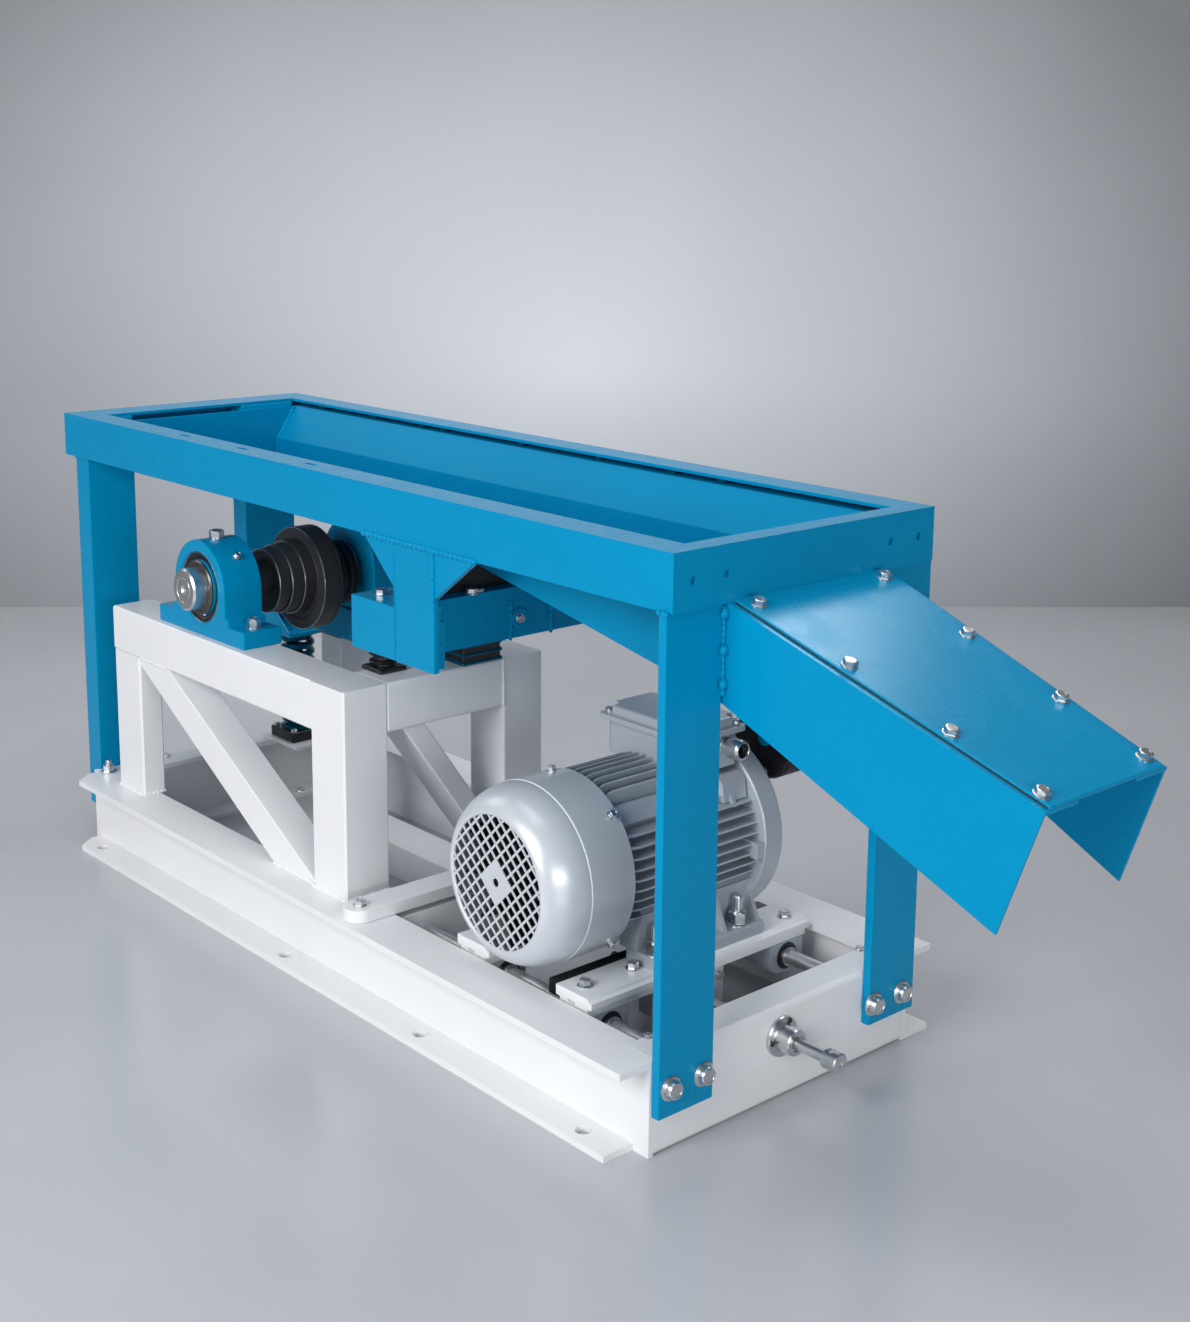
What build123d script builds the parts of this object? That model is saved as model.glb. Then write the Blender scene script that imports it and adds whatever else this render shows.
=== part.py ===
from build123d import *
import math
import os

os.makedirs("parts", exist_ok=True)

# Grading machine on its base: a long open trough ends in a sloping chute and stands over a
# drive trestle and a motor on a slide. X runs towards the chute, Z is up, millimetres.
# The origin is the middle of the anchor bolt pattern, on the floor.

# Base frame of channels
BASE_LENGTH = 1475
BASE_WIDTH = 500
BASE_HEIGHT = 130
BEAM_REACH = 50
BEAM_WEB = 8
BEAM_FLANGE = 9
BEAM_LIP = 29
END_FLANGE = 55
END_CORNER = 8
FLANGE_BEVEL = 40
ANCHOR_FROM_END = 94
ANCHOR_FROM_REAR = 74
ANCHOR_PITCH = 351
ANCHOR_HOLE = 18

TIE_FROM_END = 603
TIE_WIDTH = 50
TIE_THICK = 20
TIE_OVERHANG = 42
ROD_MEMBER_WIDTH = 44
ROD_MEMBER_WALL = 6
LOW_MEMBER_HEIGHT = 60

# Trestle of square tube
TRESTLE_BELOW_RIM = 246
TRESTLE_FRONT = 664
TUBE_WIDE = 88
TUBE_DEEP = 80
TUBE_HIGH = 77
TUBE_CORNER = 3
NEAR_POST_FROM_REAR = 99
FAR_FRAME_SHIFT = 302
REAR_POST_DEEP = 42
FAR_POST_FROM_REAR = 322
FAR_POST_WIDE = 64
FAR_RAIL_HIGH = 59
DIAGONAL_HIGH = 66
DIAGONAL_DEEP = 60
DIAGONAL_INSET = 4
END_BRACE_HIGH = 60
SEAT_THICK = 12

# Drive shaft and its bearings
SHAFT_FROM_REAR = 375
SHAFT_DIA = 70
SHAFT_MIDDLE_DIA = 52
SHAFT_OVERHANG = 28
SHAFT_CHAMFER = 3
FIT_CLEARANCE = 0.05
BLOCK_LENGTH = 272
BLOCK_WIDTH = 72
BLOCK_HEIGHT = 79.4
BLOCK_FOOT = 28
BLOCK_RING = 157
BLOCK_NECK = 176
BLOCK_STEP = 12
BLOCK_INSERT = 118
BLOCK_RECESS = 10
BLOCK_BOSS = 92
BLOCK_FROM_EDGE = 14
FLYWHEEL_DIA = 176
FLYWHEEL_WIDTH = 38
FLYWHEEL_MID = -30
FLYWHEEL_THROW = 11
STEP_THROW = 6
STEP_DIAMETERS = (109, 117, 125)
STEP_PITCH = 22
SHEAVE_DIA = 111
SHEAVE_WIDTH = 52
SHEAVE_GROOVE_COUNT = 2
SHEAVE_GROOVE_DEPTH = 6

# Blue rim and legs
RIM_TOP = 775
RIM_HEIGHT = 74
RIM_WALL = 5
RIM_WIDTH = 484
RIM_PAST_REAR = 75
RIM_SIDE_FLANGE = 50
RIM_FRONT_FLANGE = 33
RIM_REAR_FLANGE = 67
RIM_HOLE = 10
RIM_HOLE_SPAN = 420
RIM_HOLE_PITCH = 57
LEG_BOTTOM = 55
LEG_FROM_TROUGH = 2
LEG_INSET = 3
FRONT_LEG_THICK = 14
REAR_LEG_WIDTH = 90
REAR_LEG_FLANGE = 46
REAR_LEG_WALL = 7

# Trough
SHEET = 4
TROUGH_WIDTH = 300
TROUGH_MOUTH = 384
TROUGH_LIP_GAP = 8
FLARE_DROP = 57
TROUGH_BELOW_RIM = 33
TROUGH_FLAT_FROM_END = 480
TROUGH_FALL = 89

# Chute
CHUTE_SLOPE = 18.8
CHUTE_RUN = 442
CHUTE_DEPTH = 163
CHUTE_END_WIDTH = 236
CHUTE_FLANGE = 62
LID_INSET = 10

# Hangers, cross beam and spring seats
HANGER_THICK = 10
STRAP_FROM_END = 496
STRAP_WIDE = 91
STRAP_LONG = 174
GUSSET_LONG = 69
GUSSET_REAR = 76
GUSSET_FRONT = 93
BEAM_HIGH = 78
BEAM_WIDE = 115
BEAM_OVERLAP = 7
BACK_PLATE_WIDE = 78
BACK_PLATE_THICK = 14
BACK_PLATE_HIGH = 68
BRACKET_HIGH = 20
PACKING_SETBACK = 23
NEAR_MOUNT_FROM_FRONT = 68
NEAR_MOUNT_FROM_POST = 42
FAR_MOUNT_FROM_FRONT = 114
MOUNT_PLATE = 8
BELLOWS_DIA = 46
BELLOWS_NECK = 34
BELLOWS_RING_COUNT = 2
BELLOWS_PLATE = 52
PAD_LONG = 78
PAD_WIDE = 56
PAD_FROM_POST = 182
PAD_LAYER_COUNT = 3
PAD_STEEL = 5
PAD_GROOVE = 4

SPRING_FROM_REAR = 85
SPRING_FROM_MID = 133
SPRING_DIA = 66
SPRING_TOP = 345
SPRING_PAD = 78
SPRING_PAD_HIGH = 20
SEAT_LONG = 119
SEAT_WIDE = 90
SEAT_HIGH = 8
SPRING_LEG_WIDE = 107
SPRING_SHELF = 90
SHELF_THICK = 8
SHELF_GUSSET = 90
SHELF_EDGE = 10

# Motor on its slide
MOTOR_FROM_END = 296
MOTOR_HEIGHT = 132
MOTOR_CORE = 208
MOTOR_FINS = 246
MOTOR_BODY_FRONT = -120
MOTOR_BODY_BACK = 124
FOOT_FRONT = -88
FOOT_BACK = 124
COVER_DIA = 254
COVER_LENGTH = 139
COVER_DOME = 28
SHIELD_DIA = 272
SHIELD_THICK = 36
SHIELD_BOSS_DIA = 190
SHIELD_BOSS = 14
SHIELD_TAPER = 8
MOTOR_SHAFT_DIA = 38
MOTOR_SHAFT_LENGTH = 66
FOOT_SPACING = 216
FOOT_WIDE = 56
FOOT_THICK = 18
FOOT_RIB = 12
FOOT_BELOW_AXIS = 60
BOX_LONG = 166
BOX_WIDE = 104
BOX_BOTTOM = 384
BOX_TOP = 431
BOX_MID = 66
LID_LIP = 10
LID_RISE = 15
LID_REACH = 9
BOX_NECK = 120
BOX_NECK_WIDE = 84
GLAND_DIA = 30
GLAND_LENGTH = 36
GLAND_DOWN = 15
GLAND_ALONG = 25

SLIDE_TOP = 144
SLIDE_BAR_WIDE = 72
SLIDE_BAR_LONG = 424
SLIDE_BAR_THICK = 15
SLIDE_STEP_THICK = 12
SLIDE_STEP_INSET = 8
SLIDE_BAR_OFFSET = 108
DAMPER_WIDE = 24
DAMPER_HIGH = 24
ROD_DIA = 22
ROD_SPACING = 344
ROD_HEIGHT = 95
BUSH_WIDE = 68
BUSH_BOTTOM = 70
BUSH_LONG = 58
SCREW_DIA = 16
SCREW_HEIGHT = 89
SCREW_SIDE = -12
SCREW_OUT = 105
SCREW_INNER = 330
SCREW_CAP_DIA = 27
SCREW_CAP_LONG = 24
NUT_WIDE = 116
NUT_BOTTOM = 64
NUT_LONG = 50
COLLAR_FLANGE_DIA = 56
COLLAR_FLANGE = 7
COLLAR_DIA = 37
COLLAR_LENGTH = 24

# Ribbed drum behind the motor
DRUM_FROM_END = 225
DRUM_ABOVE_MOTOR = 129
DRUM_DIA = 120
DRUM_WIDTH = 50
DRUM_GROOVE_COUNT = 1
DRUM_RIB_DEPTH = 3
DRUM_STRAP_WIDE = 70
DRUM_AXLE_DIA = 24

# Places worked out from the sizes above
anchor_span = BASE_LENGTH - ANCHOR_FROM_END - ANCHOR_FROM_REAR
front = anchor_span / 2 + ANCHOR_FROM_END
rear = front - BASE_LENGTH
half = BASE_WIDTH / 2
inside = half - BEAM_WEB
lip = half - BEAM_LIP
under_lip = BASE_HEIGHT - BEAM_FLANGE
rim_half = RIM_WIDTH / 2
rim_inside = rim_half - RIM_WALL
rim_front = front + FRONT_LEG_THICK + RIM_WALL
rim_rear = rear - RIM_PAST_REAR
rim_bottom = RIM_TOP - RIM_HEIGHT
rim_under = RIM_TOP - RIM_WALL
trestle_top = rim_bottom - TRESTLE_BELOW_RIM
shaft_x = rear + SHAFT_FROM_REAR
shaft_z = trestle_top + BLOCK_HEIGHT
floor_z = rim_bottom - TROUGH_BELOW_RIM
outlet_z = floor_z - TROUGH_FALL
strap_bottom = rim_bottom - STRAP_LONG
gusset_bottom = rim_bottom - GUSSET_LONG
near_y = -half
far_y = near_y + FAR_FRAME_SHIFT
trestle_x = front - TRESTLE_FRONT
far_post_x = rear + FAR_POST_FROM_REAR
motor_x = front - MOTOR_FROM_END
motor_z = SLIDE_TOP + MOTOR_HEIGHT
drum_z = motor_z + DRUM_ABOVE_MOTOR
trough_half = TROUGH_WIDTH / 2
slope = math.radians(CHUTE_SLOPE)


def block(x0, x1, y0, y1, z0, z1):
    """A plain block between two limits on each axis."""
    middle = Location(((x0 + x1) / 2, (y0 + y1) / 2, (z0 + z1) / 2))
    return middle * Box(abs(x1 - x0), abs(y1 - y0), abs(z1 - z0))


def plate_xz(points, y0, y1):
    """A plate cut to an outline in X and Z, from y0 to y1."""
    outline = Plane.XZ * Polygon(*points, align=None)
    return Location((0, y0, 0)) * extrude(outline, y1 - y0, dir=(0, 1, 0))


def plate_yz(points, x0, x1):
    """A plate or bar cut to an outline in Y and Z, from x0 to x1."""
    outline = Plane.YZ * Polygon(*points, align=None)
    return Location((x0, 0, 0)) * extrude(outline, x1 - x0, dir=(1, 0, 0))


def plate_xy(points, z0, z1):
    """A plate cut to an outline in X and Y, from z0 to z1."""
    return Location((0, 0, z0)) * extrude(Polygon(*points, align=None), z1 - z0, dir=(0, 0, 1))


def rod_y(x, z, diameter, y0, y1):
    """A round bar that lies along Y."""
    turned = Location((x, (y0 + y1) / 2, z)) * Rotation(90, 0, 0)
    return turned * Cylinder(diameter / 2, y1 - y0)


def rod_x(y, z, diameter, x0, x1):
    """A round bar that lies along X."""
    turned = Location(((x0 + x1) / 2, y, z)) * Rotation(0, 90, 0)
    return turned * Cylinder(diameter / 2, x1 - x0)


def rod_z(x, y, diameter, z0, z1):
    """A round bar that stands along Z."""
    return Location((x, y, (z0 + z1) / 2)) * Cylinder(diameter / 2, z1 - z0)


def turned_y(points, x, z):
    """A turned piece on an axis along Y, from its half section of radius and Y."""
    section = Polygon(*points, align=None)
    return Location((x, 0, z)) * revolve(section, Axis.Y)


def mirrored(piece):
    """The same piece on the other long side."""
    return mirror(piece, Plane.XZ)


def save(name, piece):
    export_step(piece, f"parts/{name}.step")


# Base: side beams are channels with their flanges outwards and beveled at the ends
def flange_outline():
    return [(rear, -inside), (rear, -half), (rear + FLANGE_BEVEL, -half - BEAM_REACH),
            (front - FLANGE_BEVEL, -half - BEAM_REACH), (front, -half), (front, -inside)]


def side_beam():
    beam = block(rear, front, -half, -inside, 0, BASE_HEIGHT)
    beam += block(rear + END_FLANGE, front - END_FLANGE, -inside, -lip, under_lip, BASE_HEIGHT)
    beam += plate_xy(flange_outline(), 0, BEAM_FLANGE)
    beam += plate_xy(flange_outline(), BASE_HEIGHT - BEAM_FLANGE, BASE_HEIGHT)
    first = front - ANCHOR_FROM_END
    for x in (first, first - ANCHOR_PITCH, first - 2 * ANCHOR_PITCH, rear + ANCHOR_FROM_REAR):
        beam -= rod_z(x, -half - BEAM_REACH / 2, ANCHOR_HOLE, -1, BEAM_FLANGE + 1)
    return beam


def end_channel(face, inward):
    """A channel between the side beams, its web on the face and its flanges inwards."""
    web_in = face + inward * BEAM_WEB
    tip = face + inward * END_FLANGE
    low, high = BEAM_FLANGE, BASE_HEIGHT - BEAM_FLANGE
    outline = [(face, 0), (tip, 0), (tip, low), (web_in, low), (web_in, high),
               (tip, high), (tip, BASE_HEIGHT), (face, BASE_HEIGHT)]
    channel = plate_xz(outline, -inside, inside)
    corners = channel.edges().filter_by(Axis.Y).filter_by_position(Axis.X, face - 0.1, face + 0.1)
    return fillet(corners, END_CORNER)


near_beam = side_beam()
save("side_beams", near_beam + mirrored(near_beam))
screw_hole = rod_x(SCREW_SIDE, SCREW_HEIGHT, SCREW_DIA + 4, front - BEAM_WEB - 1, front + 1)
save("end_channels", (end_channel(front, -1) - screw_hole) + end_channel(rear, 1))

# The tie bar lies across the top flanges, and the rod member stands under it
tie_x = front - TIE_FROM_END
tie_length = BASE_WIDTH + 2 * TIE_OVERHANG
tie = Location((tie_x, 0, BASE_HEIGHT)) * extrude(Rotation(0, 0, 90) * SlotOverall(tie_length, TIE_WIDTH),
                                                  TIE_THICK)
save("tie_bar", tie)
member_front = tie_x + ROD_MEMBER_WIDTH / 2
member_rear = tie_x - ROD_MEMBER_WIDTH / 2
member_wall_in = member_front - ROD_MEMBER_WALL
rod_member = plate_xz(
    [(member_front, 0), (member_rear, 0), (member_rear, ROD_MEMBER_WALL), (member_wall_in, ROD_MEMBER_WALL),
     (member_wall_in, under_lip - ROD_MEMBER_WALL), (member_rear, under_lip - ROD_MEMBER_WALL),
     (member_rear, under_lip), (member_front, under_lip)], -inside, inside)
save("rod_cross_member", rod_member)
low_frame = block(trestle_x - TUBE_WIDE, trestle_x, -inside, inside, 0, LOW_MEMBER_HEIGHT)
low_frame += block(far_post_x - FAR_POST_WIDE / 2, trestle_x - TUBE_WIDE, far_y, far_y + TUBE_DEEP,
                   0, LOW_MEMBER_HEIGHT)
save("low_frame", low_frame)


# Trestle: rounded tube, a near frame with its diagonal and a braced front end
def tube(x0, x1, y0, y1, z0, z1, along):
    bar = block(x0, x1, y0, y1, z0, z1)
    return chamfer(bar.edges().filter_by(along), TUBE_CORNER)


near_in = near_y + TUBE_DEEP
far_out = far_y + TUBE_DEEP
near_rear_x = rear + NEAR_POST_FROM_REAR
rail_bottom = trestle_top - TUBE_HIGH
save("near_posts",
     tube(trestle_x - TUBE_WIDE, trestle_x, near_y, near_in, BASE_HEIGHT, trestle_top, Axis.Z)
     + tube(near_rear_x, near_rear_x + TUBE_WIDE, near_y, near_y + REAR_POST_DEEP,
            BASE_HEIGHT, rail_bottom, Axis.Z))
save("near_top_rail", tube(near_rear_x, trestle_x - TUBE_WIDE, near_y, near_in,
                           rail_bottom, trestle_top, Axis.X))
save("post_seat", block(trestle_x - TUBE_WIDE, trestle_x, -lip, near_in,
                        BASE_HEIGHT - SEAT_THICK, BASE_HEIGHT))
far_rail_bottom = trestle_top - FAR_RAIL_HIGH
save("far_posts",
     tube(trestle_x - TUBE_WIDE, trestle_x, far_y, far_out, LOW_MEMBER_HEIGHT, trestle_top, Axis.Z)
     + tube(far_post_x - FAR_POST_WIDE / 2, far_post_x + FAR_POST_WIDE / 2, far_y, far_out,
            LOW_MEMBER_HEIGHT, far_rail_bottom, Axis.Z))
far_rail_rear = shaft_x - BLOCK_LENGTH / 2 - BLOCK_FROM_EDGE
save("far_top_rail", tube(far_rail_rear, trestle_x - TUBE_WIDE, far_y, far_out,
                          far_rail_bottom, trestle_top, Axis.X))
save("front_end_rail", tube(trestle_x - TUBE_WIDE, trestle_x, near_in, far_y,
                            rail_bottom, trestle_top, Axis.Y))

# The diagonal runs from the rear post under the rail to the foot of the front post
diagonal_x0 = near_rear_x + TUBE_WIDE
diagonal_x1 = trestle_x - TUBE_WIDE
diagonal_angle = math.atan2(rail_bottom - BASE_HEIGHT, diagonal_x1 - diagonal_x0)
diagonal_run = DIAGONAL_HIGH / math.sin(diagonal_angle)
diagonal_rise = DIAGONAL_HIGH / math.cos(diagonal_angle)
diagonal = plate_xz([(diagonal_x0, rail_bottom), (diagonal_x0 + diagonal_run, rail_bottom),
                     (diagonal_x1, BASE_HEIGHT + diagonal_rise), (diagonal_x1, BASE_HEIGHT),
                     (diagonal_x1 - diagonal_run, BASE_HEIGHT),
                     (diagonal_x0, rail_bottom - diagonal_rise)],
                    near_y + DIAGONAL_INSET, near_y + DIAGONAL_INSET + DIAGONAL_DEEP)
save("near_diagonal", diagonal)
brace_angle = math.atan2(rail_bottom - LOW_MEMBER_HEIGHT, far_y - near_in)
brace_run = END_BRACE_HIGH / math.sin(brace_angle)
brace_rise = END_BRACE_HIGH / math.cos(brace_angle)
brace = plate_yz([(near_in, rail_bottom), (near_in + brace_run, rail_bottom),
                  (far_y, LOW_MEMBER_HEIGHT + brace_rise), (far_y, LOW_MEMBER_HEIGHT),
                  (far_y - brace_run, LOW_MEMBER_HEIGHT), (near_in, rail_bottom - brace_rise)],
                 trestle_x - TUBE_WIDE + 6, trestle_x - 6)
save("front_end_brace", brace)


# Bearings: pillow blocks with a round housing on a long foot
def pillow_block(y0, seen):
    """A block from y0 on, with the recess of its insert in the face on the seen side."""
    y1 = y0 + BLOCK_WIDTH
    foot_top = trestle_top + BLOCK_FOOT
    foot = block(shaft_x - BLOCK_LENGTH / 2, shaft_x + BLOCK_LENGTH / 2, y0, y1, trestle_top, foot_top)
    neck = block(shaft_x - BLOCK_NECK / 2, shaft_x + BLOCK_NECK / 2, y0, y1, trestle_top, foot_top + BLOCK_STEP)
    body = block(shaft_x - BLOCK_RING / 2, shaft_x + BLOCK_RING / 2, y0, y1, trestle_top, shaft_z)
    ring = rod_y(shaft_x, shaft_z, BLOCK_RING, y0, y1)
    housing = foot + neck + body + ring
    face = y0 if seen < 0 else y1
    a, b = min(face, face - seen * BLOCK_RECESS), max(face, face - seen * BLOCK_RECESS)
    housing -= rod_y(shaft_x, shaft_z, BLOCK_INSERT, a, b) - rod_y(shaft_x, shaft_z, BLOCK_BOSS, a, b)
    return housing - rod_y(shaft_x, shaft_z, SHAFT_DIA + 2 * FIT_CLEARANCE, y0 - 1, y1 + 1)


near_block_y = near_y + BLOCK_FROM_EDGE
far_block_y = far_y + (TUBE_DEEP - BLOCK_WIDTH) / 2
save("bearings", pillow_block(near_block_y, -1) + pillow_block(far_block_y, 1))

# Drive shaft, stepped pulley, flywheel and grooved sheave turn together
shaft_near = near_block_y - SHAFT_OVERHANG
shaft_far = far_block_y + BLOCK_WIDTH + SHAFT_OVERHANG
journal_near = near_block_y + BLOCK_WIDTH + 6
journal_far = far_block_y - 6
r, m, c = SHAFT_DIA / 2, SHAFT_MIDDLE_DIA / 2, SHAFT_CHAMFER
save("drive_shaft", turned_y(
    [(0, shaft_near), (r - c, shaft_near), (r, shaft_near + c), (r, journal_near), (m, journal_near),
     (m, journal_far), (r, journal_far), (r, shaft_far - c), (r - c, shaft_far), (0, shaft_far)],
    shaft_x, shaft_z))

flywheel_y0 = FLYWHEEL_MID - FLYWHEEL_WIDTH / 2
flywheel_y1 = FLYWHEEL_MID + FLYWHEEL_WIDTH / 2
wheel_z = shaft_z - FLYWHEEL_THROW
shaft_bore = rod_y(shaft_x, shaft_z, SHAFT_MIDDLE_DIA, journal_near, journal_far)
save("flywheel", rod_y(shaft_x, wheel_z, FLYWHEEL_DIA, flywheel_y0, flywheel_y1) - shaft_bore)


def stepped_section():
    """Half section of three steps that grow towards the flywheel."""
    y = flywheel_y0 - STEP_PITCH * len(STEP_DIAMETERS)
    points = [(0, y)]
    for diameter in STEP_DIAMETERS:
        points += [(diameter / 2, y), (diameter / 2, y + STEP_PITCH)]
        y += STEP_PITCH
    return points + [(0, flywheel_y0)]


def grooved_section(radius, bore, y0, y1, grooves, depth):
    """Half section of a drum with even square grooves round it."""
    pitch = (y1 - y0) / (2 * grooves + 1)
    points = [(bore, y0), (radius, y0)]
    for i in range(grooves):
        low = y0 + pitch * (2 * i + 1)
        points += [(radius, low), (radius - depth, low), (radius - depth, low + pitch), (radius, low + pitch)]
    return points + [(radius, y1), (bore, y1)]


save("stepped_pulley", turned_y(stepped_section(), shaft_x, shaft_z - STEP_THROW) - shaft_bore)
sheave_section = grooved_section(SHEAVE_DIA / 2, 0, flywheel_y1, flywheel_y1 + SHEAVE_WIDTH,
                                 SHEAVE_GROOVE_COUNT, SHEAVE_GROOVE_DEPTH)
save("grooved_sheave", turned_y(sheave_section, shaft_x, wheel_z) - shaft_bore)


# Rim: folded angles with mitred corners round the mouth of the trough
corner_front, corner_rear = rim_front - RIM_FRONT_FLANGE, rim_rear + RIM_REAR_FLANGE
mouth = rim_half - RIM_SIDE_FLANGE


def rim_side():
    wall = block(rim_rear, rim_front, -rim_half, -rim_inside, rim_bottom, rim_under)
    top = plate_xy([(rim_rear, -rim_half), (rim_front, -rim_half), (corner_front, -mouth),
                    (corner_rear, -mouth)], rim_under, RIM_TOP)
    return wall + top


def rim_end(outer, inner, corner):
    wall = block(outer, inner, -rim_inside, rim_inside, rim_bottom, rim_under)
    top = plate_xy([(outer, -rim_half), (outer, rim_half), (corner, mouth), (corner, -mouth)],
                   rim_under, RIM_TOP)
    return wall + top


near_rim = rim_side()
save("rim_sides", near_rim + mirrored(near_rim))
front_rim = rim_end(rim_front, rim_front - RIM_WALL, corner_front)
hole_z = (rim_bottom + RIM_TOP) / 2
for y in (RIM_HOLE_SPAN / 2, RIM_HOLE_SPAN / 2 - RIM_HOLE_PITCH):
    for side in (-1, 1):
        front_rim -= rod_x(side * y, hole_z, RIM_HOLE, rim_front - RIM_WALL - 1, rim_front + 1)
save("rim_ends", front_rim + rim_end(rim_rear, rim_rear + RIM_WALL, corner_rear))

# Legs: flat bars in front, coped to fit inside the rim, and channels at the rear
leg_in = trough_half + LEG_FROM_TROUGH
leg_out = half - LEG_INSET
front_leg = plate_yz([(-leg_in, LEG_BOTTOM), (-leg_out, LEG_BOTTOM), (-leg_out, rim_bottom),
                      (-rim_inside, rim_bottom), (-rim_inside, rim_under), (-leg_in, rim_under)],
                     front, front + FRONT_LEG_THICK)
save("front_legs", front_leg + mirrored(front_leg))


def rear_leg(y_out, y_in, bottom):
    """A channel with its web towards the base and its flanges to the rear."""
    tip, web = rear - REAR_LEG_FLANGE, rear - REAR_LEG_WALL
    outline = [(rear, y_out), (tip, y_out), (tip, y_out + REAR_LEG_WALL), (web, y_out + REAR_LEG_WALL),
               (web, y_in - REAR_LEG_WALL), (tip, y_in - REAR_LEG_WALL), (tip, y_in), (rear, y_in)]
    return plate_xy(outline, bottom, rim_under)


save("rear_leg", rear_leg(-rim_inside, -rim_inside + REAR_LEG_WIDTH, LEG_BOTTOM))
spring_leg = rear_leg(SPRING_FROM_MID - SPRING_LEG_WIDE / 2, SPRING_FROM_MID + SPRING_LEG_WIDE / 2, SPRING_TOP)
shelf_front = rear + SPRING_FROM_REAR + SPRING_SHELF / 2
spring_leg += block(rear, shelf_front, SPRING_FROM_MID - SPRING_SHELF / 2, SPRING_FROM_MID + SPRING_SHELF / 2,
                    SPRING_TOP, SPRING_TOP + SHELF_THICK)
shelf_z = SPRING_TOP + SHELF_THICK
for side in (-1, 1):
    edge = SPRING_FROM_MID + side * SPRING_SHELF / 2
    spring_leg += plate_xz([(rear, shelf_z), (shelf_front - SHELF_EDGE, shelf_z), (rear, shelf_z + SHELF_GUSSET)],
                           min(edge, edge - side * SHELF_THICK), max(edge, edge - side * SHELF_THICK))
save("sprung_leg", spring_leg)

# Trough: folded side sheets with a lip on the rim wall, a floor that drops, and a rear sheet
lip_top = rim_under - TROUGH_LIP_GAP
flare_bottom = lip_top - FLARE_DROP
trough_rear = rear
flat_x = front - TROUGH_FLAT_FROM_END
mouth_half = TROUGH_MOUTH / 2


def trough_wall():
    flare = [(-rim_inside, lip_top), (-rim_inside, lip_top - SHEET), (-mouth_half - SHEET, lip_top - SHEET),
             (-trough_half, flare_bottom), (-trough_half, outlet_z),
             (-trough_half + SHEET, outlet_z), (-trough_half + SHEET, flare_bottom),
             (-mouth_half, lip_top)]
    sheet = plate_yz(flare, trough_rear, front)
    below = [(trough_rear - 1, outlet_z - 1), (trough_rear - 1, floor_z), (flat_x, floor_z),
             (front, outlet_z), (front, outlet_z - 1)]
    return sheet - plate_xz(below, -trough_half - 1, -trough_half + SHEET + 1)


near_wall = trough_wall()
save("trough_walls", near_wall + mirrored(near_wall))
floor_half = trough_half - SHEET
save("trough_floor", plate_xz(
    [(trough_rear, floor_z), (flat_x, floor_z), (front, outlet_z),
     (front, outlet_z + SHEET), (flat_x, floor_z + SHEET), (trough_rear, floor_z + SHEET)],
    -floor_half, floor_half))
save("trough_rear_sheet", plate_yz(
    [(-floor_half, floor_z + SHEET), (-floor_half, flare_bottom), (-mouth_half, lip_top),
     (mouth_half, lip_top), (floor_half, flare_bottom), (floor_half, floor_z + SHEET)],
    trough_rear, trough_rear + SHEET))

# Chute: two side sheets folded in at the top, with a bolted lid, open below and at its end
chute_x = rim_front
chute_end = chute_x + CHUTE_RUN
drop = CHUTE_RUN * math.tan(slope)
end_x = chute_end - CHUTE_DEPTH * math.sin(slope)
end_z = rim_bottom - drop - CHUTE_DEPTH * math.cos(slope)


def in_plan(solid, root_out, end_out, root_in, end_in):
    """What is left of a solid between two lines in plan that run from the base to the chute end."""
    outline = [(front, -root_out), (chute_end, -end_out), (chute_end, -end_in), (front, -root_in)]
    return solid & plate_xy(outline, 0, RIM_TOP)


top_end = rim_bottom - drop
end_half = CHUTE_END_WIDTH / 2
fold = SHEET / math.cos(slope)


def chute_wall():
    side = plate_xz([(front, rim_bottom), (chute_x, rim_bottom), (chute_end, top_end),
                     (end_x, end_z), (front, outlet_z)], -trough_half, 0)
    wall = in_plan(side, trough_half, end_half, trough_half - SHEET, end_half - SHEET)
    top = plate_xz([(chute_x, rim_bottom), (chute_end, top_end), (chute_end, top_end - fold),
                    (chute_x, rim_bottom - fold)], -trough_half, 0)
    return wall + in_plan(top, trough_half, end_half, trough_half - CHUTE_FLANGE, end_half - CHUTE_FLANGE)


near_chute = chute_wall()
save("chute_walls", near_chute + mirrored(near_chute))
lid_root, lid_end = trough_half - LID_INSET, end_half - LID_INSET
lid = plate_xz([(chute_x, rim_bottom), (chute_end, top_end), (chute_end, top_end + fold),
                (chute_x, rim_bottom + fold)], -trough_half, trough_half)
save("chute_lid", in_plan(lid, lid_root, lid_end, -lid_root, -lid_end))

# Hangers: a strap with two gussets under each side of the rim, and the beam between them
strap_front = front - STRAP_FROM_END + STRAP_WIDE / 2
strap_rear = strap_front - STRAP_WIDE
hanger = plate_xz([(strap_rear - GUSSET_REAR, rim_bottom), (strap_front + GUSSET_FRONT, rim_bottom),
                   (strap_front, gusset_bottom), (strap_front, strap_bottom), (strap_rear, strap_bottom),
                   (strap_rear, gusset_bottom)], -rim_half, -rim_half + HANGER_THICK)
save("hangers", hanger + mirrored(hanger))
beam_bottom = strap_bottom + 1
beam_front = strap_rear + BEAM_OVERLAP
beam_rear = beam_front - BEAM_WIDE
beam_half = rim_half - HANGER_THICK
cross_beam = block(beam_rear, beam_front, -beam_half, beam_half, beam_bottom, beam_bottom + BEAM_HIGH)
cross_beam += block(beam_rear, strap_rear, -rim_half, rim_half, beam_bottom, beam_bottom + BEAM_HIGH)
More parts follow.
